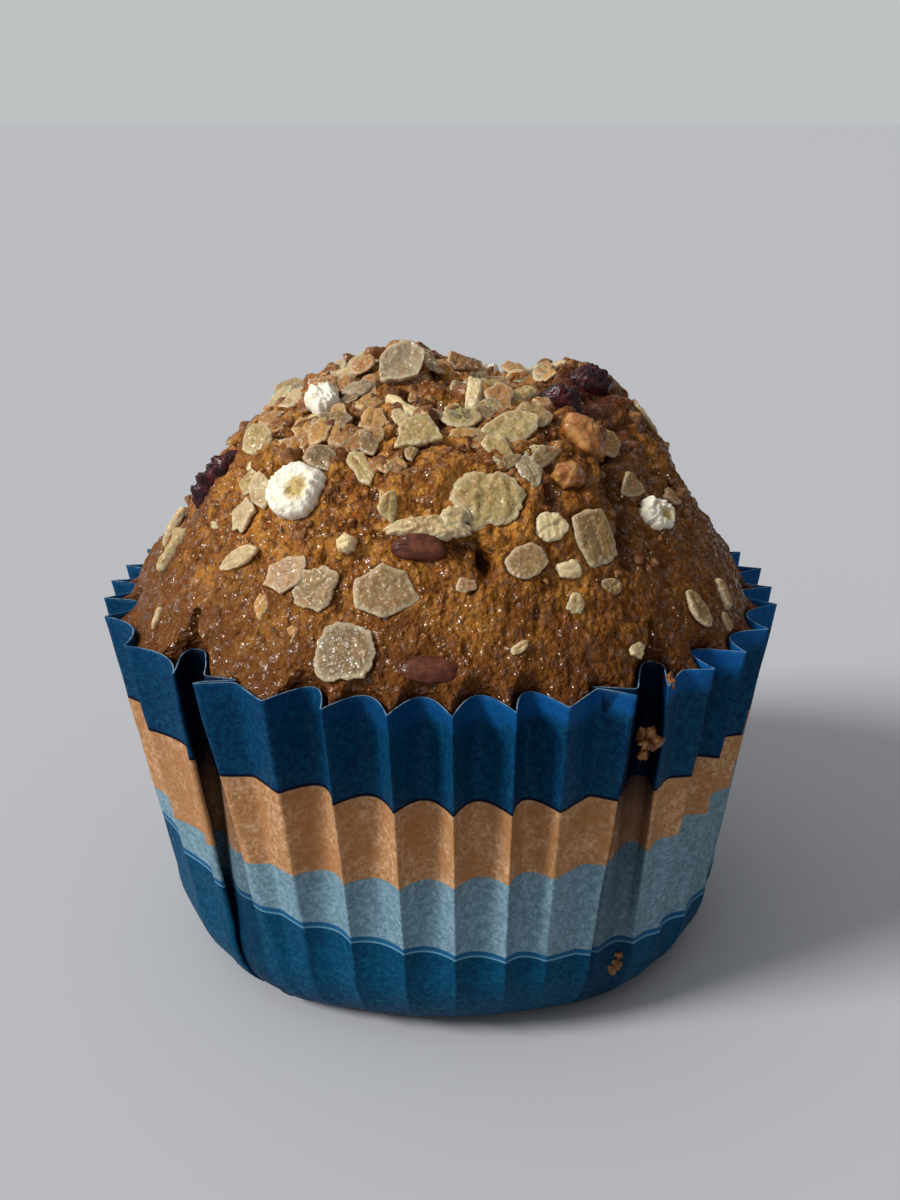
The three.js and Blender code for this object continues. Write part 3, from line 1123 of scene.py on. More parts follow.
    def build(self) -> bpy.types.Object:
        """Builds the sheet as one closed mesh with a thin cut edge at the rim.

        Returns:
            The sheet.
        """
        rim, shade = self.columns.rim, self.columns.shade
        count = len(rim)
        centre = np.array([self.lean, 0, 0])
        even = np.radians(rim[0] + np.arange(count) * 360 / count)
        plain = np.stack([np.sin(even), -np.cos(even), np.zeros(count)], axis=1)
        base = [centre + plain * radius for radius in self.floor_rings]
        outside = [*base, *(self.ring(z) for z in self.levels())]
        inside = self.inner_side(outside)
        skin = Skin()
        # Each point carries its fold's painted shade, which darkens the colour deep in the tucks.
        middle = skin.add(centre[None, :], tucked=np.zeros(1))
        starts = [skin.add(ring, tucked=shade) for ring in outside + inside[::-1]]
        top = skin.add((centre + (0, 0, self.thickness))[None, :], tucked=np.zeros(1))
        skin.cap(starts[0], count, middle, upward=False)
        for k in range(len(starts) - 1):
            skin.band(starts[k], starts[k + 1], count, slot=int(k == len(outside) - 1))
        skin.cap(starts[-1], count, top, upward=True)
        return skin.piece("pleated_paper_case")

    def inner_side(self, rings: list[Array]) -> list[Array]:
        """The sheet's rings moved inwards by its thickness, along its own normals.

        Args:
            rings: The rings of its outer side, from the middle of the base to the rim.

        Returns:
            The rings of its inner side, in the same order.
        """
        grid = np.array(rings)
        around = np.roll(grid, -1, axis=1) - np.roll(grid, 1, axis=1)
        upward = np.gradient(grid, axis=0)
        normals = np.cross(around, upward)
        length = np.linalg.norm(normals, axis=-1, keepdims=True)
        moved = grid - self.thickness * normals / np.maximum(length, 1e-9)
        moved[:, :, 2] = np.maximum(moved[:, :, 2], self.thickness * (grid[:, :, 2] < 1))
        return list(moved)

    def dress(self, piece: bpy.types.Object, effects: SharedEffects) -> None:
        """Gives the sheet its printed face and its cut edge.

        Args:
            piece: The sheet.
            effects: The shared node groups.
        """
        printed = PaperFinish("printed_greaseproof_paper", effects, specular=0.06)
        piece.data.materials.append(printed.material())
        piece.data.materials.append(EdgeFinish("cut_paper_edge", effects).material())
        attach(piece, "root")
        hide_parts("paper_case")


# Toppings


class Outline(Enum):
    """Outlines of a topping: sides, share of the polygon, waist, raggedness."""

    ROUND = (0, 0.0, 0.0, 0.12)
    RAGGED = (0, 0.0, 0.0, 0.2)
    SHARD = (5, 0.95, 0.0, 0.1)
    SLAB = (4, 0.6, 0.0, 0.06)
    TRIANGLE = (3, 0.7, 0.0, 0.1)
    HEXAGON = (6, 1.0, 0.0, 0.05)
    WAISTED = (0, 0.0, 0.34, 0.1)
    LEAF = (2, 0.0, -0.12, 0.08)
    SMOOTH = (0, 0.0, 0.0, 0.015)


class Tint(Enum):
    """Colours of flakes and slivers."""

    CREAM = (0.66, 0.53, 0.29)
    PALE = (0.46, 0.35, 0.18)
    BEIGE = (0.25, 0.16, 0.066)
    PINKISH = (0.37, 0.225, 0.12)
    YELLOW = (0.36, 0.265, 0.1)
    OLIVE = (0.38, 0.29, 0.12)
    GOLDEN = (0.4, 0.21, 0.06)
    AMBER = (0.32, 0.15, 0.045)
    GREY = (0.3, 0.235, 0.145)
    TAN = (0.28, 0.175, 0.07)
    UMBER = (0.165, 0.105, 0.045)


@dataclass
class Topping:
    """A topping on the crust, at the place and size of its solid.

    It has a place in plan, a length and a width, a turn in plan and a lean out of the crust in degrees.
    """

    slot: ClassVar[str]
    node: str
    x: float
    y: float
    long: float
    wide: float
    turn: float
    lean: float = 0.0
    outline: Outline = Outline.ROUND
    tint: Tint = Tint.BEIGE
    thick: float = 0.6
    sink: float = 0.3
    curl: float = 0.15
    tip: float = 0.1
    relief: float = 0.2
    relief_size: float = 1.3
    rim_share: float = 0.4
    angles: int = 88
    rings: int = 18
    seed: int = 0
    centre: Array = field(init=False, repr=False)
    up: Array = field(init=False, repr=False)
    along: Array = field(init=False, repr=False)
    beside: Array = field(init=False, repr=False)
    back: Array = field(init=False, repr=False)
    noise: Noise = field(init=False, repr=False)

    def place(self, dome: Dome) -> None:
        """Finds the topping's own axes on the crust.

        Args:
            dome: The crust's form.
        """
        self.centre = dome.points(np.array([self.x]), np.array([self.y]))[0]
        self.up = dome.normals(np.array([self.x]), np.array([self.y]))[0]
        turn = math.radians(self.turn)
        along = np.array([math.cos(turn), math.sin(turn), 0])
        self.along = unit(along - (along @ self.up) * self.up)
        self.beside = np.cross(self.up, self.along)
        back = np.array([0, 1.0, 0])
        self.back = unit(back - (back @ self.up) * self.up)
        self.noise = Noise(1000 + self.seed)

    def reach(self, angle: Array) -> Array:
        """How far the outline goes.

        Args:
            angle: Angles round the topping's middle, in radians.

        Returns:
            Shares of the plain ellipse.
        """
        sides, share, waist, ragged = self.outline.value
        reach = np.ones_like(angle)
        if share:
            sector = 2 * math.pi / sides
            uneven = 0.08 if sides == 4 else 0.2
            warped = angle + uneven * (np.sin(angle + self.seed) + 0.6 * np.sin(2 * angle + 1.7 * self.seed))
            offset = sector / 2 if sides == 4 else 0.7 * self.seed
            inside = (warped + offset) % sector - sector / 2
            reach = 1 - share + share * 1.12 * math.cos(sector / 2) / np.cos(inside)
        reach = reach * (1 - waist * np.exp(-((np.cos(angle) / 0.42) ** 2)))
        round_trip = np.stack([np.cos(angle), np.sin(angle), np.full_like(angle, self.seed)], axis=-1)
        wander = self.noise.at(round_trip, 0.8) + 0.4 * self.noise.at(round_trip, 0.3)
        wander = wander + 0.24 * self.noise.at(round_trip, 0.12)
        return reach * (1 + ragged * 1.4 * wander)

    def across(self, points: Array) -> Array:
        """How far points lie from the topping's middle.

        Args:
            points: Points as rows.

        Returns:
            Distances, where 1 is its outline.
        """
        away = points - self.centre
        a, b = away @ self.along / (self.long / 2), away @ self.beside / (self.wide / 2)
        deep = np.abs(away @ self.up) / 4
        return np.hypot(np.hypot(a, b) / self.reach(np.arctan2(b, a)), deep)

    def top(self, out: Array, angle: Array) -> Array:
        """Height of the upper face over the bedding.

        Args:
            out: Share of the way from the middle to the outline.
            angle: Angle round the middle, in radians.

        Returns:
            One height for each place.
        """
        crown = self.rim_share + (1 - self.rim_share) * np.sqrt(np.clip(1 - out**4, 0, 1))
        crimp = 0.07 * out**5 * np.sin(9 * angle + 5 * np.sin(2 * angle + self.seed))
        return self.thick * (crown + crimp) + self.curl * out**2

    def bottom(self, out: Array) -> Array:
        """Height of the lower face over the bedding."""
        return self.curl * out**2 - 0.1 * (1 - out)

    def lay(self, dome: Dome, out: Array, angle: Array, height: Array) -> Array:
        """Points of the topping on the crust.

        Args:
            dome: The crust's form.
            out: Share of the way from the middle to the outline.
            angle: Angle round the middle, in radians.
            height: Height over the crust.

        Returns:
            Points as rows.
        """
        reach = out * self.reach(angle)
        a, b = self.long / 2 * np.cos(angle) * reach, self.wide / 2 * np.sin(angle) * reach
        flat = self.centre + a[:, None] * self.along + b[:, None] * self.beside
        behind = np.maximum(0, (flat - self.centre) @ self.back + self.wide / 2)
        raised = height - self.sink + 0.25 + math.tan(math.radians(self.lean)) * behind
        raised = raised + self.tip * (a * math.cos(2.4 * self.seed) + b * math.sin(2.4 * self.seed))
        return dome.points(flat[:, 0], flat[:, 1]) + raised[:, None] * self.up

    def surface(self, points: Array) -> Array:
        """The topping's own fine relief at some points."""
        return self.relief * self.noise.layered(points, self.relief_size, 3)

    def edge_mask(self, out: Array, angle: Array) -> Array:
        """Share of the rim's paler colour; on flakes it is painted light, shining through the thin rim."""
        return smooth_step(out, 0.72, 1.0)

    def skin(self, dome: Dome, into: Skin) -> None:
        """Adds the topping's closed shape to a skin.

        Args:
            dome: The crust's form.
            into: The skin.
        """
        self.place(dome)
        angle = np.arange(self.angles) * 2 * math.pi / self.angles
        shares = np.sin(np.linspace(0, math.pi / 2, self.rings + 1)[1:])
        lower_shares = shares[3::4] if self.rings > 8 else shares[1::2]
        tint = np.array(self.tint.value)

        def put(out: float, height: Array, upper: bool) -> int:
            """Adds a ring.

            Args:
                out: Its share of the way from the middle to the outline.
                height: Height of each of its points over the bedding.
                upper: Whether it is on the upper face, which has the fine relief.

            Returns:
                The index of its first point.
            """
            ring = np.full(self.angles, out)
            points = self.lay(dome, ring, angle, height)
            if upper:
                points = points + (self.surface(points) * (1 - 0.6 * out**8))[:, None] * self.up
            colours = np.tile(tint, (self.angles, 1))
            return into.add(points, tint=colours, edge=self.edge_mask(ring, angle))

        def put_middle(height: float) -> int:
            """Adds the middle point of a face.

            Args:
                height: Its height over the bedding.

            Returns:
                Its index.
            """
            zero = np.zeros(1)
            points = self.lay(dome, zero, zero, np.array([height]))
            return into.add(points, tint=tint[None, :], edge=self.edge_mask(zero, zero))

        low = put_middle(float(self.bottom(np.zeros(1))[0]))
        lower = [put(s, self.bottom(np.full(self.angles, s)), False) for s in lower_shares]
        if lower_shares[-1] < shares[-1]:
            lower.append(put(1.0, self.bottom(np.ones(self.angles)), False))
        upper = [put(s, self.top(np.full(self.angles, s), angle), True) for s in shares[::-1]]
        high = put_middle(float(self.top(np.zeros(1), np.zeros(1))[0]))
        into.cap(lower[0], self.angles, low, upward=False)
        rings = lower + upper
        for a, b in zip(rings, rings[1:]):
            into.band(a, b, self.angles)
        into.cap(upper[-1], self.angles, high, upward=True)

    def build(self, dome: Dome) -> bpy.types.Object:
        """Builds the topping.

        Args:
            dome: The crust's form.

        Returns:
            The topping's mesh object.
        """
        skin = Skin()
        self.skin(dome, skin)
        return skin.piece("topping_" + self.node)


@dataclass
class OatFlake(Topping):
    """A rolled oat flake: thin, cupped, with a crimped rim and a crease along it."""

    slot: ClassVar[str] = "oat_flake"

    def top(self, out: Array, angle: Array) -> Array:
        """The upper face, with a crease along the flake."""
        crease = np.exp(-((out * np.sin(angle) / 0.12) ** 2)) * np.clip(1 - out, 0, 1)
        return super().top(out, angle) - 0.22 * self.thick * crease


@dataclass
class Sliver(Topping):
    """A long thin piece of flake."""

    thick: float = 1.0
    curl: float = 0.0
    relief: float = 0.1
    relief_size: float = 0.7
    rim_share: float = 0.25
    outline: Outline = Outline.SLAB
    slot: ClassVar[str] = "oat_flake"


@dataclass
class PuffedGrain(Topping):
    """A puffed grain: a ragged white cushion, its heart showing in the middle."""

    thick: float = 2.0
    sink: float = 0.5
    relief: float = 0.42
    relief_size: float = 1.1
    rim_share: float = 0.3
    outline: Outline = Outline.RAGGED
    heart: float = 0.42
    heart_x: float = 0.22
    heart_y: float = -0.2
    slot: ClassVar[str] = "puffed_grain"

    def top(self, out: Array, angle: Array) -> Array:
        """The upper face, lower over the heart."""
        return super().top(out, angle) - 0.35 * self.edge_mask(out, angle)

    def surface(self, points: Array) -> Array:
        """Small blisters."""
        blisters = self.noise.nodules(points, self.relief_size) + 0.7 * self.noise.nodules(points, 0.6)
        return self.relief * (blisters - 0.5) + 0.1 * self.noise.at(points, 0.35)

    def edge_mask(self, out: Array, angle: Array) -> Array:
        """Share of the heart's colour."""
        away = np.hypot(out * np.cos(angle) - self.heart_x, out * np.sin(angle) - self.heart_y)
        return smooth_step(away, self.heart * 1.35, self.heart * 0.55) if self.heart else np.zeros_like(out)


@dataclass
class NutPiece(Topping):
    """A broken piece of nut in syrup, with blunt facets."""

    thick: float = 2.7
    sink: float = 0.6
    relief: float = 0.16
    relief_size: float = 1.3
    rim_share: float = 0.3
    outline: Outline = Outline.SHARD
    slot: ClassVar[str] = "candied_nut"

    def top(self, out: Array, angle: Array) -> Array:
        """The upper face, cut by a few flat facets.

        Args:
            out: Share of the way from the middle to the outline.
            angle: Angle round the middle, in radians.

        Returns:
            One height for each place.
        """
        whole = super().top(out, angle)
        for k in range(5):
            turn = 1.3 * k + self.seed
            slope = out * np.cos(angle - turn)
            whole = np.minimum(whole, self.thick * (1.08 - 0.55 * slope - 0.03 * k))
        return np.maximum(whole, 0.2 * self.thick)


@dataclass
class AlmondSlice(Topping):
    """A slice of almond with its skin on, sunk in the crust."""

    thick: float = 1.0
    sink: float = 0.2
    curl: float = 0.0
    relief: float = 0.04
    rim_share: float = 0.15
    outline: Outline = Outline.SMOOTH
    slot: ClassVar[str] = "almond_slice"

    def surface(self, points: Array) -> Array:
        """Fine furrows along the skin."""
        across = (points - self.centre) @ self.beside
        return super().surface(points) + 0.03 * np.sin(across * 9 + self.noise.at(points, 1.5) * 2)


@dataclass
class Berry(Topping):
    """A dried berry, wrinkled and half sunk."""

    thick: float = 2.0
    sink: float = 0.45
    curl: float = 0.0
    relief: float = 0.6
    relief_size: float = 1.3
    rim_share: float = 0.05
    outline: Outline = Outline.ROUND
    slot: ClassVar[str] = "dried_fruit"

    def surface(self, points: Array) -> Array:
        """Deep wrinkles between swollen folds."""
        folds = self.noise.nodules(points, self.relief_size) + 0.4 * self.noise.nodules(points, 0.6)
        return self.relief * (folds - 0.35)


def main_toppings() -> list[Topping]:
    """Lists the toppings that have solids of their own, each with its seed.

    Returns:
        The toppings.
    """
    o, t = Outline, Tint
    made = [
        OatFlake("flake_crown", -4.2, -2.6, 5.1, 4.3, 25, 22, o.ROUND, t.GREY, curl=0.5, rim_share=0.8),
        PuffedGrain("puff_small", -11.8, -7.2, 4.2, 3.5, 78, 10, heart=0),
        PuffedGrain("puff_large", -13.7, -19.5, 6.5, 6.3, 0, outline=o.ROUND),
        OatFlake("flake_chip_upper", -18.8, -15.2, 2.8, 2.4, 42, 0, o.SHARD, t.YELLOW),
        OatFlake("flake_chip_lower", -19.4, -17.6, 3.9, 3.0, 61, 0, o.SHARD, t.PALE),
        OatFlake("flake_long", -19.6, -20.6, 5.4, 1.9, 8, 0, o.LEAF, t.PALE),
        OatFlake("flake_bone", -7.5, -19.8, 4.6, 2.4, -69, 0, o.WAISTED, t.YELLOW),
        OatFlake("flake_corner", -2, -16.9, 5.6, 5, 13, 20, o.TRIANGLE, t.YELLOW),
        OatFlake("flake_golden", -6.6, -13, 3.5, 2.8, 82, 10, o.SHARD, t.GOLDEN),
        Sliver("sliver_crown", -3.6, -10.4, 6.8, 1.3, -50, tint=t.CREAM),
        OatFlake("flake_cream", -15.6, -2.7, 3.2, 3, -59, 10, o.SHARD, t.PALE),
        Sliver("sliver_cream", -11, 0.2, 6.4, 1.4, -30, tint=t.PALE),
        Berry("berry_left", -23.4, -8.6, 7.5, 2.9, 20, sink=1.0),
        Sliver("sliver_left_high", -28.5, -6.4, 5.4, 1.3, 12, tint=t.PALE),
        Sliver("sliver_left_low", -27.9, -11, 5.8, 1.5, 25, tint=t.OLIVE),
        OatFlake("flake_pale", -14.5, -24.7, 4.5, 3.8, 8, 0, o.SHARD, t.PINKISH),
        OatFlake("flake_ragged", -11.5, -26.8, 4.6, 4.2, 12, 0, o.RAGGED, t.BEIGE),
        OatFlake("flake_front", -5, -28.5, 5.9, 4.7, -2, 0, o.HEXAGON, t.BEIGE),
        OatFlake("flake_round", -8.7, -31.2, 6.5, 6.1, -4, 0, o.ROUND, t.UMBER, thick=0.5, relief=0.12),
        AlmondSlice("almond_skin", -1.8, -26.5, 5.4, 2.7, -5),
        AlmondSlice("almond_low", -0.8, -33, 5.6, 2.7, -6, thick=0.8, sink=0.6),
        Sliver("flake_ledge", -0.9, -25.4, 7.8, 2.3, -10, 0, o.RAGGED, t.PALE, relief=0.34, thick=1.2),
        Sliver("stick", 3.7, -6.7, 6, 2, 80, 26, tint=t.CREAM, thick=1.3),
        Sliver("sliver_right", 8.4, -6.3, 5.4, 2.2, 38, 16, tint=t.YELLOW),
        OatFlake("flake_upper", 7.2, -14.9, 6, 3.5, 25, 12, o.LEAF, t.OLIVE),
        NutPiece("nut_caramel", 14.2, -13.1, 5.4, 4.1, -22),
        OatFlake("flake_yellow", 4.7, -23, 6.7, 6.1, 77, 0, o.RAGGED, t.YELLOW, relief=0.3),
        OatFlake("flake_smoky", 8.7, -19.8, 4, 2.5, -60, 0, o.SHARD, t.GREY),
        NutPiece("nut_glossy", 12.6, -18.8, 3.7, 3, 26, thick=2.2),
        OatFlake("flake_bright", 10.7, -23.5, 3.4, 2.9, 45, 0, o.ROUND, t.CREAM),
        OatFlake("flake_leaning", 15, -22.1, 6.6, 5, -52, 0, o.SLAB, t.TAN, relief=0.12),
        OatFlake("flake_amber", 8.3, -26.2, 4.3, 3.3, 50, 0, o.ROUND, t.TAN, relief=0.07),
        PuffedGrain("puff_right", 22.1, -13.7, 4.2, 3.6, 10, thick=1.6),
        OatFlake("flake_edge", 22.4, 2.4, 5.2, 3, 0, 0, o.SLAB, t.PALE, curl=0.6),
        OatFlake("flake_low", 26, -19.3, 4.3, 2.5, -38, 0, o.LEAF, t.BEIGE),
        Sliver("sliver_low", 29.3, -14.3, 4, 1.1, -30, tint=t.BEIGE),
        Berry("berry_crest", 16.4, 1, 5.2, 3.8, 7, sink=0.7),
        Berry("berry_hollow", 12.6, -5.2, 4.6, 2.4, -10),
        OatFlake("flake_back_left", -19, 12, 5.4, 4.4, 70, 0, o.RAGGED, t.BEIGE),
        OatFlake("flake_back_high", -6, 14, 5.6, 4.2, 20, 0, o.HEXAGON, t.YELLOW),
        PuffedGrain("puff_back", 4.5, 17.5, 4.8, 4.2, 0),
        OatFlake("flake_back_right", 17, 15, 6, 4.6, -40, 0, o.ROUND, t.PALE),
        OatFlake("flake_back_low", -8, 25.5, 5.6, 4.8, 10, 0, o.ROUND, t.BEIGE),
        Sliver("sliver_back", 9.5, 25, 6, 1.6, 60, tint=t.PALE),
        Berry("berry_back", -15.5, 19.5, 5.6, 3.4, -30),
        NutPiece("nut_back", 25, 9.5, 4.6, 3.6, 60),
    ]
    for seed, topping in enumerate(made):
        topping.seed = seed
    return made


# The crust


@dataclass
class Crust:
    """The muffin's crust, and the crumb below it down to the case's floor.

    wall_fit has the heights of the crumb's rings, each with how far it stays inside the paper.
    """

    dome: Dome
    case: PaperCase
    toppings: list[Topping]
    cells: int = 296
    edge_radius: float = 34.6
    reach_from: float = 28.0
    edge_limits: tuple[float, float] = (33.3, 35.0)
    notches: tuple[float, float] = (40, 311.6)
    notch_depth: float = 1.6
    notch_width: float = 1.9
    lump_size: float = 5.6
    knob_size: float = 2.7
    bead_size: float = 1.15
    grit_size: float = 0.55
    pits: int = 230
    pit_seed: int = 23
    wall_fit: tuple[tuple[float, float], ...] = (
        (41.2, 0.3),
        (35, 0.35),
        (30, 0.35),
        (18, 0.4),
        (8, 0.4),
        (2.2, 0.4),
        (0.5, 2.5),
    )
    noise: Noise = field(default_factory=lambda: Noise(5))
    grooves: tuple[Groove, ...] = (
        Groove(((14.5, -3.3), (16.5, -11.1), (18, -15.5), (18.5, -18.7), (18.6, -21)), 1.5, 0.9),
        Groove(((-6, -25.3), (-1.7, -26.4), (3, -26.3)), 0.7, 0.45),
        Groove(((0.1, -8), (1.5, -11), (3.1, -13.6)), 1.3, 1.1),
        Groove(((2.6, -24.4), (3.5, -25.8), (4.2, -26.7)), 1.1, 0.34),
        Groove(((4.3, -26.9), (4.7, -27)), 2.4, 0.6),
        Groove(((-3.4, -20.6), (-2.6, -20.4)), 1.2, 0.7),
        Groove(((-19, -9.5), (-14.5, -11.5), (-11, -12.5)), 0.7, 0.6),
        Groove(((9.5, -9.5), (12, -8.2), (15, -7)), 1.0, 0.8),
    )
    # Red-brown patches: berry stains, and the large ones round the berries on the right are painted shade as
    # well.
    ruddy: tuple[Stain, ...] = (
        Stain(-9, -15.5, 2.6, 0.75),
        Stain(-10.5, -17.8, 1.8, 0.6),
        Stain(-24.5, -10, 3.0, 0.8),
        Stain(10.8, -21.3, 1.7, 0.8),
        Stain(-4.5, -6.3, 1.8, 0.5),
        Stain(13, -4.5, 5.2, 0.95),
        Stain(15.5, -1.2, 5.6, 0.95),
        Stain(19.5, -6, 3.4, 0.7),
        Stain(-13.5, -22.6, 1.3, 0.4),
    )
    gold: tuple[Stain, ...] = (
        Stain(1.4, -22.6, 2.6, 0.7),
        Stain(-20, -12, 3.5, 0.3),
        Stain(-5, 1, 4.5, 0.35),
        Stain(3, -30.5, 3.0, 0.3),
        Stain(22, -6, 3.4, 0.35),
    )

    def plan(self) -> tuple[Array, Array]:
        """Places in plan of an even grid over the dome, by its length from the crown.

        Returns:
            x and y of the grid's corners, as square arrays.
        """
        radii = np.linspace(0, self.edge_radius, 400)
        rise = self.dome.rise(radii)
        far = np.concatenate([[0], np.cumsum(np.hypot(np.diff(radii), np.diff(rise)))])
        side = np.linspace(-1, 1, self.cells + 1)
        a, b = np.meshgrid(side, side, indexing="ij")
        wide = np.abs(a) >= np.abs(b)
        longer = np.where(wide, a, b)
        shorter = np.where(wide, b, a)
        angle = math.pi / 4 * shorter / np.where(longer == 0, 1, longer)
        radius = np.interp(np.abs(longer), far / far[-1], radii) * np.sign(longer)
        cos, sin = radius * np.cos(angle), radius * np.sin(angle)
        x, y = np.where(wide, cos, sin), np.where(wide, sin, cos)
        return self.out_to_paper(x, y)

    def out_to_paper(self, x: Array, y: Array) -> tuple[Array, Array]:
        """Stretches the outer part of the plan so that its edge lies in the paper's flutes.

        Args:
            x: Places to the viewer's right.
            y: Places away from the viewer.

        Returns:
            The moved x and y.
        """
        azimuths = np.arange(0, 360, 0.25)
        rim = np.minimum(self.case.narrowest(41.0, azimuths), self.case.narrowest(38.0, azimuths)) - 0.25
        rim = np.clip(rim, *self.edge_limits)
        rim = np.mean([np.roll(rim, k) for k in range(-6, 7)], axis=0)
        for notch in self.notches:
            rim = rim - self.notch_depth * np.exp(-(((azimuths - notch) / self.notch_width) ** 2))
        azimuth = np.degrees(np.arctan2(x, -y)) % 360
        edge = np.interp(azimuth, azimuths, rim, period=360)
        radius = np.hypot(x, y)
        share = np.clip((radius - self.reach_from) / (self.edge_radius - self.reach_from), 0, 1)
        stretch = 1 + share**3 * (edge / self.edge_radius - 1)
        return x * stretch, y * stretch

    def relief(self, points: Array) -> tuple[Array, Array]:
        """How far the crust stands out of its large form.

        Args:
            points: Points on the large form, as rows.

        Returns:
            The distance outwards, and how deep in a crease each point lies, from 0 to 1.
        """
        radius = np.hypot(points[:, 0], points[:, 1])
        craggy = smooth_step(radius, 29, 21)
        edge = 0.5 + 0.5 * smooth_step(radius, 34, 31.5)
        warped = points + 0.8 * np.stack([self.noise.at(points + k * 17, 4.0) for k in range(3)], axis=1)
        lumps = self.noise.nodules(warped, self.lump_size) - 0.35
        knobs = self.noise.nodules(warped + 50, self.knob_size) - 0.35
        beads = self.noise.nodules(points + 90, self.bead_size) - 0.35
        grit = self.noise.at(points + 70, self.grit_size)
        out = (0.3 + 1.35 * craggy) * lumps + (0.25 + 0.8 * craggy) * knobs
        out = out + (0.24 + 0.16 * craggy) * beads + 0.12 * grit + 0.4 * self.noise.at(points, 8.0)
        out = np.where(out > 0.5, 0.5 + 0.55 * (out - 0.5), out)
        crease = smooth_step(lumps * (0.3 + 0.7 * craggy) + 0.5 * knobs, -0.16, -0.42)
        for groove in self.grooves:
            away = away_from_line(points, groove.line) + 0.25 * self.noise.at(points, 1.1)
            share = np.exp(-((away / groove.width) ** 2))
            out = out - groove.depth * share
            crease = np.maximum(crease, share)
        draw = np.random.default_rng(self.pit_seed)
        for _ in range(self.pits):
            angle, far = draw.uniform(0, 2 * math.pi), self.edge_radius * math.sqrt(draw.uniform(0.15, 0.98))
            size, depth = draw.uniform(0.16, 0.5), draw.uniform(0.25, 0.7)
            away = np.hypot(points[:, 0] - far * math.sin(angle), points[:, 1] + far * math.cos(angle))
            share = np.exp(-((away / size) ** 2))
            out = out - depth * share
            crease = np.maximum(crease, 0.9 * share)
        for topping in self.toppings:
            across = topping.across(points)
            bed = smooth_step(across, 1.35, 0.9)
            shore = np.exp(-(((across - 1.16) / 0.13) ** 2))
            out = out * (1 - 0.85 * bed) + 0.14 * shore - 0.1 * bed
            crease = crease * (1 - bed)
        return out * edge, crease * edge

    def patches(self, points: Array, stains: tuple[Stain, ...]) -> Array:
        """Share of some patches' colour at points on the crust.

        Args:
            points: Points as rows.
            stains: The patches.

        Returns:
            One share for each point.
        """
        total = np.zeros(len(points))
        for stain in stains:
            away = np.hypot(points[:, 0] - stain.x, points[:, 1] - stain.y) + 0.7 * self.noise.at(points, 1.6)
            total = np.maximum(total, stain.strength * smooth_step(away, stain.radius, 0.3 * stain.radius))
        return total

    def build(self) -> bpy.types.Object:
        """Builds the crust and crumb as one closed mesh.

        Returns:
            The mesh object.
        """
        x, y = self.plan()
        points = self.dome.points(x.ravel(), y.ravel())
        normals = self.dome.normals(x.ravel(), y.ravel())
        out, crease = self.relief(points)
        radius = np.hypot(points[:, 0], points[:, 1])
        uneven = 2.5 * self.noise.layered(points, 5.0, 2)
        # Darker near the paper, partly damp crumb and partly painted shade, and painted shade over the right
        # side, away from the light.
        moist = 0.85 * smooth_step(radius + uneven, 25, 34)
        moist = np.maximum(moist, 0.7 * smooth_step(points[:, 0] + 2 * uneven, 3, 22))
        skin = Skin()
        first = skin.add(
            points + out[:, None] * normals,
            # Painted shade in creases, grooves and pits.
            hollow=0.85 * crease,
            moist=moist,
            ruddy=self.patches(points, self.ruddy),
            gold=self.patches(points, self.gold),
            craggy=smooth_step(radius, 26, 15),
        )
        n = self.cells + 1
        index = first + np.arange(n * n).reshape(n, n)
        quads = np.stack([index[:-1, :-1], index[1:, :-1], index[1:, 1:], index[:-1, 1:]], axis=-1)
        for quad in quads.reshape(-1, 4).tolist():
            skin.face(*quad)
        border = np.concatenate([index[:-1, 0], index[-1, :-1], index[:0:-1, -1], index[0, :0:-1]])
        self.wall(skin, border, points[border - first])
        return skin.piece("baked_crust")

    def wall(self, skin: Skin, border: Array, edge: Array) -> None:
        """Adds the crumb's side and underside, inside the paper.

        Args:
            skin: The skin that holds the dome.
            border: Indices of the dome's outermost points, in order.
            edge: Those points.
        """
        count = len(border)
        azimuth = np.degrees(np.arctan2(edge[:, 0], -edge[:, 1]))
        ring = border.tolist()
        for z, slack in self.wall_fit:
            radius = self.case.narrowest(min(max(z, 1.0), CASE_HEIGHT), azimuth) - slack
            angle = np.radians(azimuth)
            shift = self.case.lean * (1 - z / CASE_HEIGHT)
            level = np.minimum(z, edge[:, 2] - 0.5)
            place = np.stack([np.sin(angle) * radius + shift, -np.cos(angle) * radius, level], axis=1)
            start = self.add_plain(skin, place)
            following = list(range(start, start + count))
            for i in range(count):
                j = (i + 1) % count
                skin.face(ring[j], ring[i], following[i], following[j])
            ring = following
        middle = self.add_plain(skin, np.array([[self.case.lean, 0, 0.5]]))
        for i in range(count):
            skin.face(ring[(i + 1) % count], ring[i], middle)

    def add_plain(self, skin: Skin, points: Array) -> int:
        """Adds points of the crumb's damp side inside the paper, painted dark with shade."""
        zero = np.zeros(len(points))
        return skin.add(points, hollow=zero + 0.5, moist=zero + 0.9, ruddy=zero, gold=zero, craggy=zero)

    def dress(self, piece: bpy.types.Object, effects: SharedEffects) -> None:
        """Gives the crust its baked finish.

        Args:
            piece: The crust.
            effects: The shared node groups.
        """
        finish = CrustFinish(
            "baked_crust",
            effects,
            scatter=0.25,
            scatter_depth=0.7,
            specular=0.24,
            specular_tint=(1.0, 0.72, 0.4),
            coat_roughness=0.12,
            coat_ior=1.5,
        )
        piece.data.materials.append(finish.material())
        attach(piece, "root")
        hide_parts("muffin_body")


# Small things strewn over the crust


@dataclass(frozen=True)
class CrumbKind:
    """Crumbs of one kind: how many, over what share of the dome, how large, how high and how fine."""

    count: int
    outer: float
    smallest: float
    largest: float
    highest: float
    detail: int


@dataclass(frozen=True)
class Pile:
    """Crumbs caught in one place: its middle, how far they spread each way, and how many."""

    middle: tuple[float, float, float]
    spread: tuple[float, float, float]
    count: int


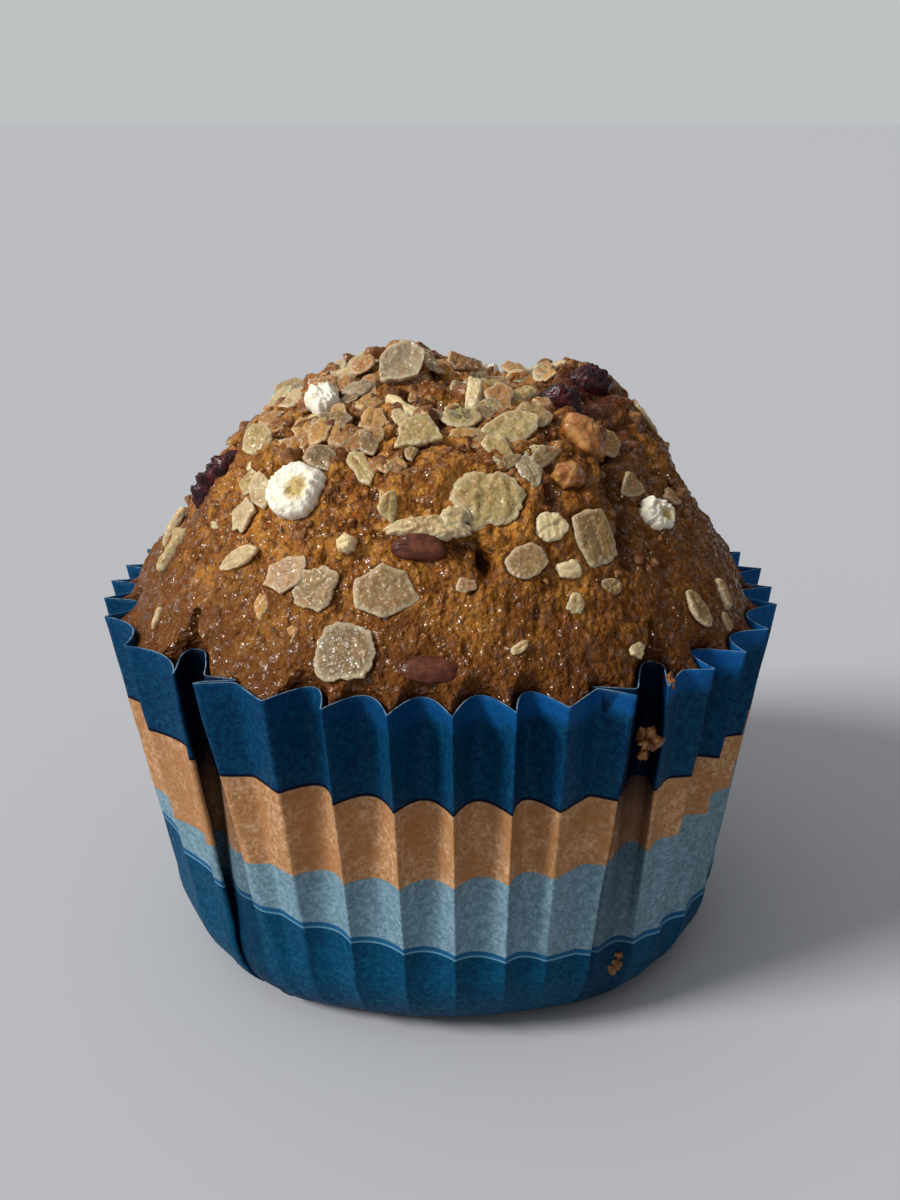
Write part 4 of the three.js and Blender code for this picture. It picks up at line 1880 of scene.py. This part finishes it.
@dataclass(frozen=True)
class Clearing:
    """A round place in plan that is kept free of crumbs and chips."""

    x: float
    y: float
    radius: float


@dataclass
class Strewing:
    """Small flakes, chips, crumbs and sugar on the crust, each kind joined into one mesh."""

    dome: Dome
    toppings: list[Topping]
    reach: float = 34.0
    chips: int = 190
    chip_seed: int = 71
    crumb_seed: int = 83
    grains: int = 800
    grain_seed: int = 95
    kinds: tuple[CrumbKind, ...] = (
        CrumbKind(260, 0.75, 0.25, 0.7, 0.1, 1),
        CrumbKind(90, 0.42, 0.6, 1.5, 0.2, 3),
    )
    piles: tuple[Pile, ...] = (
        Pile((20.1, -29.4, 34.8), (0.4, 0.3, 0.65), 14),
        Pile((22, -29.3, 40.8), (0.2, 0.2, 0.2), 3),
        Pile((18.2, -25.3, 6.6), (0.35, 0.25, 1.0), 14),
    )
    clearings: tuple[Clearing, ...] = (
        Clearing(13.5, -4, 4.6),
        Clearing(16.5, 0.5, 4),
        Clearing(-1, -26, 6),
        Clearing(3, -28, 4),
    )

    def small_flakes(self) -> bpy.types.Object:
        """Builds the flakes and chips too small for solids of their own.

        Returns:
            The mesh object.
        """
        o, t = Outline, Tint
        chips = [
            OatFlake("", -8.5, -5.1, 3.4, 2.2, 20, 8, o.SHARD, t.GREY),
            OatFlake("", -18.8, -13, 2.0, 1.1, 30, 0, o.SHARD, t.CREAM),
            OatFlake("", -16.4, -12.6, 2.2, 1.2, -10, 0, o.RAGGED, t.PALE),
            OatFlake("", -17.1, -25.4, 3.0, 1.5, 70, 0, o.LEAF, t.GOLDEN, sink=0.6),
            OatFlake("", 12.5, -25.3, 2.6, 2.0, 10, 0, o.RAGGED, t.CREAM),
            OatFlake("", 1.7, -24.6, 2.6, 1.8, 0, 0, o.RAGGED, t.CREAM),
            OatFlake("", 19, -27.3, 1.8, 1.5, 60, 0, o.RAGGED, t.PALE),
            OatFlake("", 16.6, -24.5, 2.4, 2.0, 60, 0, o.ROUND, t.BEIGE, sink=0.5),
            OatFlake("", 9.3, -17.6, 2.6, 1.0, 30, 10, o.SHARD, t.CREAM),
            OatFlake("", -8.5, -25.3, 1.9, 1.7, 20, 0, o.HEXAGON, t.CREAM, thick=1.5, sink=0),
            OatFlake("", -4.6, -23.9, 3.4, 2.2, 75, 25, o.TRIANGLE, t.YELLOW, sink=0.1),
            OatFlake("", 1.4, -24.9, 2.6, 2.3, 10, 0, o.RAGGED, t.PALE, thick=1.2, sink=0.1),
            OatFlake("", -17.2, -17.5, 3.2, 2.6, 60, 20, o.SHARD, t.PALE, sink=0.1),
            OatFlake("", -9.5, -16, 2.6, 2.2, 20, 0, o.SHARD, t.AMBER, thick=1.2, sink=0.2),
            OatFlake("", 7.6, -31.2, 1.8, 1.0, 50, 0, o.RAGGED, t.PALE),
            OatFlake("", -22.6, -15.4, 2.2, 0.9, -60, 0, o.SHARD, t.PALE),
            OatFlake("", -28.8, -17.2, 2.6, 1.0, 40, 0, o.SHARD, t.PALE),
            OatFlake("", -13.8, -28.6, 2.0, 1.3, 70, 0, o.TRIANGLE, t.GOLDEN, sink=0.5),
            OatFlake("", -2.6, -21.9, 3.4, 1.4, -15, 0, o.SHARD, t.OLIVE),
            OatFlake("", -4.6, -22.4, 3.0, 1.7, 60, 0, o.RAGGED, t.GOLDEN, sink=0.45),
            OatFlake("", 2.6, -28.4, 2.0, 1.5, 10, 0, o.RAGGED, t.PINKISH, sink=0.4),
            OatFlake("", -7.2, -8.6, 3.2, 1.8, 35, 0, o.SHARD, t.GOLDEN, sink=0.4),
            OatFlake("", 24.4, -9.4, 2.6, 1.8, 30, 0, o.RAGGED, t.AMBER, sink=0.4),
            OatFlake("", 29.6, -16.6, 2.2, 1.1, -40, 0, o.SHARD, t.BEIGE, sink=0.4),
        ]
        draw = np.random.default_rng(self.chip_seed)
        for _ in range(self.chips):
            x, y = self.free_place(draw, 0.0, 0.4 if draw.random() < 0.9 else 0.95, 1.15)
            kind = (t.GOLDEN, t.AMBER, t.TAN, t.BEIGE, t.UMBER, t.YELLOW, t.PALE, t.AMBER)[draw.integers(8)]
            long = draw.uniform(1.4, 4.6)
            wide = long * draw.uniform(0.45, 0.9)
            outline = (o.SHARD, o.RAGGED, o.TRIANGLE, o.SLAB)[draw.integers(4)]
            sink = draw.uniform(-0.1, 0.5)
            turn, lean = draw.uniform(0, 180), draw.uniform(0, 26)
            chips.append(OatFlake("", x, y, long, wide, turn, lean, outline, kind, thick=0.38, sink=sink))
        skin = Skin()
        for k, chip in enumerate(chips):
            chip.seed, chip.angles, chip.rings = 200 + k, 32, 6
            chip.curl = 0.05
            chip.skin(self.dome, skin)
        return skin.piece("small_oat_chips")

    def free_place(
        self, draw: np.random.Generator, inner: float, outer: float, gap: float, clear: bool = True
    ) -> tuple[float, float]:
        """A place in plan that no topping covers.

        Args:
            draw: The source of chance.
            inner: Least share of the dome's area from its middle.
            outer: Most share of it.
            gap: How clear of a topping's outline it stays, where 1 is the outline.
            clear: Whether it keeps out of the clearings too.

        Returns:
            x and y.
        """
        while True:
            angle, far = draw.uniform(0, 2 * math.pi), self.reach * math.sqrt(draw.uniform(inner, outer))
            x, y = far * math.sin(angle), -far * math.cos(angle)
            point = self.dome.points(np.array([x]), np.array([y]))
            if clear and any(math.hypot(c.x - x, c.y - y) < c.radius for c in self.clearings):
                continue
            near = [t for t in self.toppings if math.hypot(t.x - x, t.y - y) < t.long]
            if all(topping.across(point)[0] > gap for topping in near):
                return x, y

    def over_crust(self, x: float, y: float, height: float) -> Array:
        """The point at a height over the crust's large form."""
        across, back = np.array([x]), np.array([y])
        return self.dome.points(across, back)[0] + height * self.dome.normals(across, back)[0]

    def lump(self, skin: Skin, place: Array, size: float, noise: Noise, rough: float, detail: int) -> None:
        """Adds one small uneven lump.

        Args:
            skin: What it is added to.
            place: Its middle.
            size: Its mean radius.
            noise: What makes it uneven.
            rough: How uneven, as a share of the radius.
            detail: How finely it is made.
        """
        rings, around = 4 + 3 * detail, 6 + 5 * detail
        polar = np.linspace(0, math.pi, rings + 1)[1:-1]
        angle = np.arange(around) * 2 * math.pi / around
        draw = np.random.default_rng(int(1000 * abs(place).sum()))
        facets = unit(draw.normal(size=(9, 3)))
        reach = draw.uniform(0.55, 0.95, 9)

        def shaped(direction: Array) -> Array:
            """Places points of the lump.

            Args:
                direction: Their directions from its middle, as rows.

            Returns:
                Points as rows.
            """
            cut = np.min(reach / np.maximum(direction @ facets.T, 0.4), axis=1)
            swell = np.minimum(cut, 1.25) * (1 + rough * noise.layered(direction * size + place, size, 2))
            return place + size * swell[:, None] * direction

        low = skin.add(shaped(np.array([[0, 0, -1.0]])))
        starts = []
        for p in polar[::-1]:
            flat, level = np.full(around, math.sin(p)), np.full(around, math.cos(p))
            ring = np.stack([flat * np.cos(angle), flat * np.sin(angle), level], axis=1)
            starts.append(skin.add(shaped(ring)))
        high = skin.add(shaped(np.array([[0, 0, 1.0]])))
        skin.cap(starts[0], around, low, upward=False)
        for a, b in zip(starts, starts[1:]):
            skin.band(a, b, around)
        skin.cap(starts[-1], around, high, upward=True)

    def crumbs(self) -> bpy.types.Object:
        """Builds loose crumbs, baked-on nodules of crumb, and the crumbs caught in the paper.

        Returns:
            The mesh object.
        """
        draw = np.random.default_rng(self.crumb_seed)
        noise = Noise(self.crumb_seed + 1)
        skin = Skin()
        for kind in self.kinds:
            for _ in range(kind.count):
                x, y = self.free_place(draw, 0.0, kind.outer, 1.1)
                size = draw.uniform(kind.smallest, kind.largest)
                place = self.over_crust(x, y, size * draw.uniform(-0.5, kind.highest))
                self.lump(skin, place, size, noise, 0.3, kind.detail)
        for pile in self.piles:
            for _ in range(pile.count):
                place = np.array(pile.middle) + draw.normal(size=3) * pile.spread
                self.lump(skin, place, draw.uniform(0.35, 0.7), noise, 0.4, detail=2)
        return skin.piece("loose_crumbs")

    def sugar(self) -> bpy.types.Object:
        """Builds grains of sugar that catch the light.

        Returns:
            The mesh object.
        """
        draw = np.random.default_rng(self.grain_seed)
        noise = Noise(self.grain_seed + 1)
        skin = Skin()
        for _ in range(self.grains):
            x, y = self.free_place(draw, 0.2, 0.97, 1.02, clear=False)
            place = self.over_crust(x, y, draw.uniform(0.0, 0.25))
            self.lump(skin, place, draw.uniform(0.05, 0.12), noise, 0.5, detail=0)
        return skin.piece("sugar_grains")

    def build(self, effects: SharedEffects, flake: bpy.types.Material) -> list[bpy.types.Object]:
        """Builds and dresses all the small things.

        Args:
            effects: The shared node groups.
            flake: The flakes' material.

        Returns:
            The pieces.
        """
        chips, crumbs, sugar = self.small_flakes(), self.crumbs(), self.sugar()
        chips.data.materials.append(flake)
        crumb = GlossyFinish(
            "loose_crumb",
            effects,
            scatter=0.1,
            first=(0.14, 0.046, 0.01),
            second=(0.34, 0.15, 0.045),
            dull=0.6,
            shiny=0.32,
            coat=0.4,
        )
        crumbs.data.materials.append(crumb.material())
        grains = GlossyFinish(
            "sugar",
            effects,
            scatter=0.3,
            first=(0.45, 0.3, 0.16),
            second=(0.7, 0.58, 0.42),
            dull=0.3,
            shiny=0.08,
        )
        sugar.data.materials.append(grains.material())
        for piece, slot in ((chips, "oat_flake"), (crumbs, "crust"), (sugar, "crust")):
            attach(piece, "root")
        return [chips, crumbs, sugar]


# Studio


@dataclass
class Studio:
    """The floor, the light and the camera."""

    camera_place: tuple[float, float, float] = (1.11, -157.8, 95.26)
    camera_drop: float = 19.78
    lens: float = 43.8
    sensor: float = 36.0
    window_from: tuple[float, float, float] = (-0.73, -0.36, 0.58)
    window_width: float = 18.0
    window_power: float = 3.3
    window_colour: Colour = (1.0, 0.985, 0.96)
    floor_reach: float = 3000.0
    floor_level: float = -0.05
    floor_colour: Colour = (0.455, 0.465, 0.49)
    bright_side: tuple[float, float, float] = (-0.75, -0.1, 0.65)
    dim: Colour = (0.06, 0.056, 0.05)
    bright: Colour = (0.6, 0.61, 0.63)
    backdrop: Colour = (0.52, 0.54, 0.54)

    def build(self) -> None:
        """Builds them all."""
        self.build_floor()
        self.build_world()
        self.build_window()
        self.build_camera()
        bpy.context.scene.view_settings.view_transform = "Standard"

    def build_floor(self) -> None:
        """A wide plain floor, just under the case."""
        half, low = self.floor_reach, self.floor_level
        skin = Skin()
        corners = [(-half, -half, low), (half, -half, low), (half, half, low), (-half, half, low)]
        skin.add(np.array(corners))
        skin.face(0, 1, 2, 3)
        floor = skin.piece("floor")
        material = bpy.data.materials.new("floor")
        material.use_nodes = True
        shader = material.node_tree.nodes["Principled BSDF"]
        shader.inputs["Base Color"].default_value = (*self.floor_colour, 1)
        shader.inputs["Roughness"].default_value = 0.85
        floor.data.materials.append(material)

    def build_world(self) -> None:
        """Soft light all round, stronger from the window's side, before a plain pale backdrop."""
        world = bpy.data.worlds.new("studio")
        bpy.context.scene.world = world
        world.use_nodes = True
        wiring = Wiring(world.node_tree)
        ambient = world.node_tree.nodes["Background"]
        direction = wiring.node("TexCoord").outputs["Generated"]
        towards = wiring.node("VectorMath", {0: direction, 1: self.bright_side}, operation="DOT_PRODUCT")
        share = wiring.step(towards.outputs["Value"], -0.9, 1.0)
        wiring.feed(ambient.inputs["Color"], wiring.blend(share, self.dim, self.bright))
        backdrop = wiring.node("Background", {"Color": self.backdrop})
        seen = wiring.node("LightPath").outputs["Is Camera Ray"]
        mixed = wiring.node("MixShader", {0: seen, 1: ambient.outputs[0], 2: backdrop.outputs[0]})
        wiring.feed(world.node_tree.nodes["World Output"].inputs["Surface"], mixed.outputs[0])

    def build_window(self) -> None:
        """The main light: wide and even, from the left of the viewer."""
        lamp = bpy.data.lights.new("window", "SUN")
        lamp.angle = math.radians(self.window_width)
        lamp.energy = self.window_power
        lamp.color = self.window_colour
        made = bpy.data.objects.new("window", lamp)
        bpy.context.scene.collection.objects.link(made)
        x, y, z = unit(np.array(self.window_from))
        made.location = (x, y, z)
        made.rotation_euler = (math.acos(z), 0, math.atan2(y, x) + math.pi / 2)

    def build_camera(self) -> None:
        """The camera at the photograph's place and angle."""
        lens = bpy.data.cameras.new("camera")
        lens.lens = self.lens
        lens.sensor_width = self.sensor
        lens.clip_start = 0.01
        made = bpy.data.objects.new("camera", lens)
        bpy.context.scene.collection.objects.link(made)
        made.location = np.array(self.camera_place) * MM
        made.rotation_euler = (math.radians(90 - self.camera_drop), 0, 0)
        bpy.context.scene.camera = made


def topping_materials(effects: SharedEffects) -> dict[str, bpy.types.Material]:
    """Builds the toppings' materials.

    Args:
        effects: The shared node groups.

    Returns:
        The materials by their slots.
    """
    return {
        "oat_flake": FlakeFinish("oat_flake", effects, scatter=0.55, scatter_depth=0.9).material(),
        "puffed_grain": PuffFinish("puffed_grain", effects, scatter=0.3, scatter_depth=0.5).material(),
        "candied_nut": GlossyFinish(
            "candied_nut",
            effects,
            scatter=0.3,
            first=(0.27, 0.085, 0.014),
            second=(0.46, 0.23, 0.07),
            shiny=0.16,
            coat=0.8,
        ).material(),
        "almond_slice": GlossyFinish(
            "almond_slice",
            effects,
            first=(0.065, 0.017, 0.009),
            second=(0.13, 0.037, 0.018),
            grain_depth=0.05,
        ).material(),
        "dried_fruit": GlossyFinish(
            "dried_fruit", effects, scatter=0.05, first=(0.014, 0.005, 0.008), second=(0.07, 0.012, 0.012)
        ).material(),
    }


def report(piece: bpy.types.Object) -> None:
    """Logs a piece's name and how many faces it has."""
    LOG.info("%s: %d faces", piece.name, len(piece.data.polygons))


def main() -> None:
    """Builds the muffin piece by piece, then the studio."""
    logging.basicConfig(level=logging.INFO, format="%(name)s: %(message)s")
    effects = SharedEffects()
    dome = Dome()
    case = PaperCase()
    sheet = case.build()
    case.dress(sheet, effects)
    report(sheet)
    toppings = main_toppings()
    materials = topping_materials(effects)
    for topping in toppings:
        piece = topping.build(dome)
        piece.data.materials.append(materials[topping.slot])
        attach(piece, "root")
        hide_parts(topping.node)
        report(piece)
    crust = Crust(dome, case, toppings)
    crumb = crust.build()
    crust.dress(crumb, effects)
    report(crumb)
    for piece in Strewing(dome, toppings).build(effects, materials["oat_flake"]):
        report(piece)
    Studio().build()


if __name__ == "__main__":
    main()
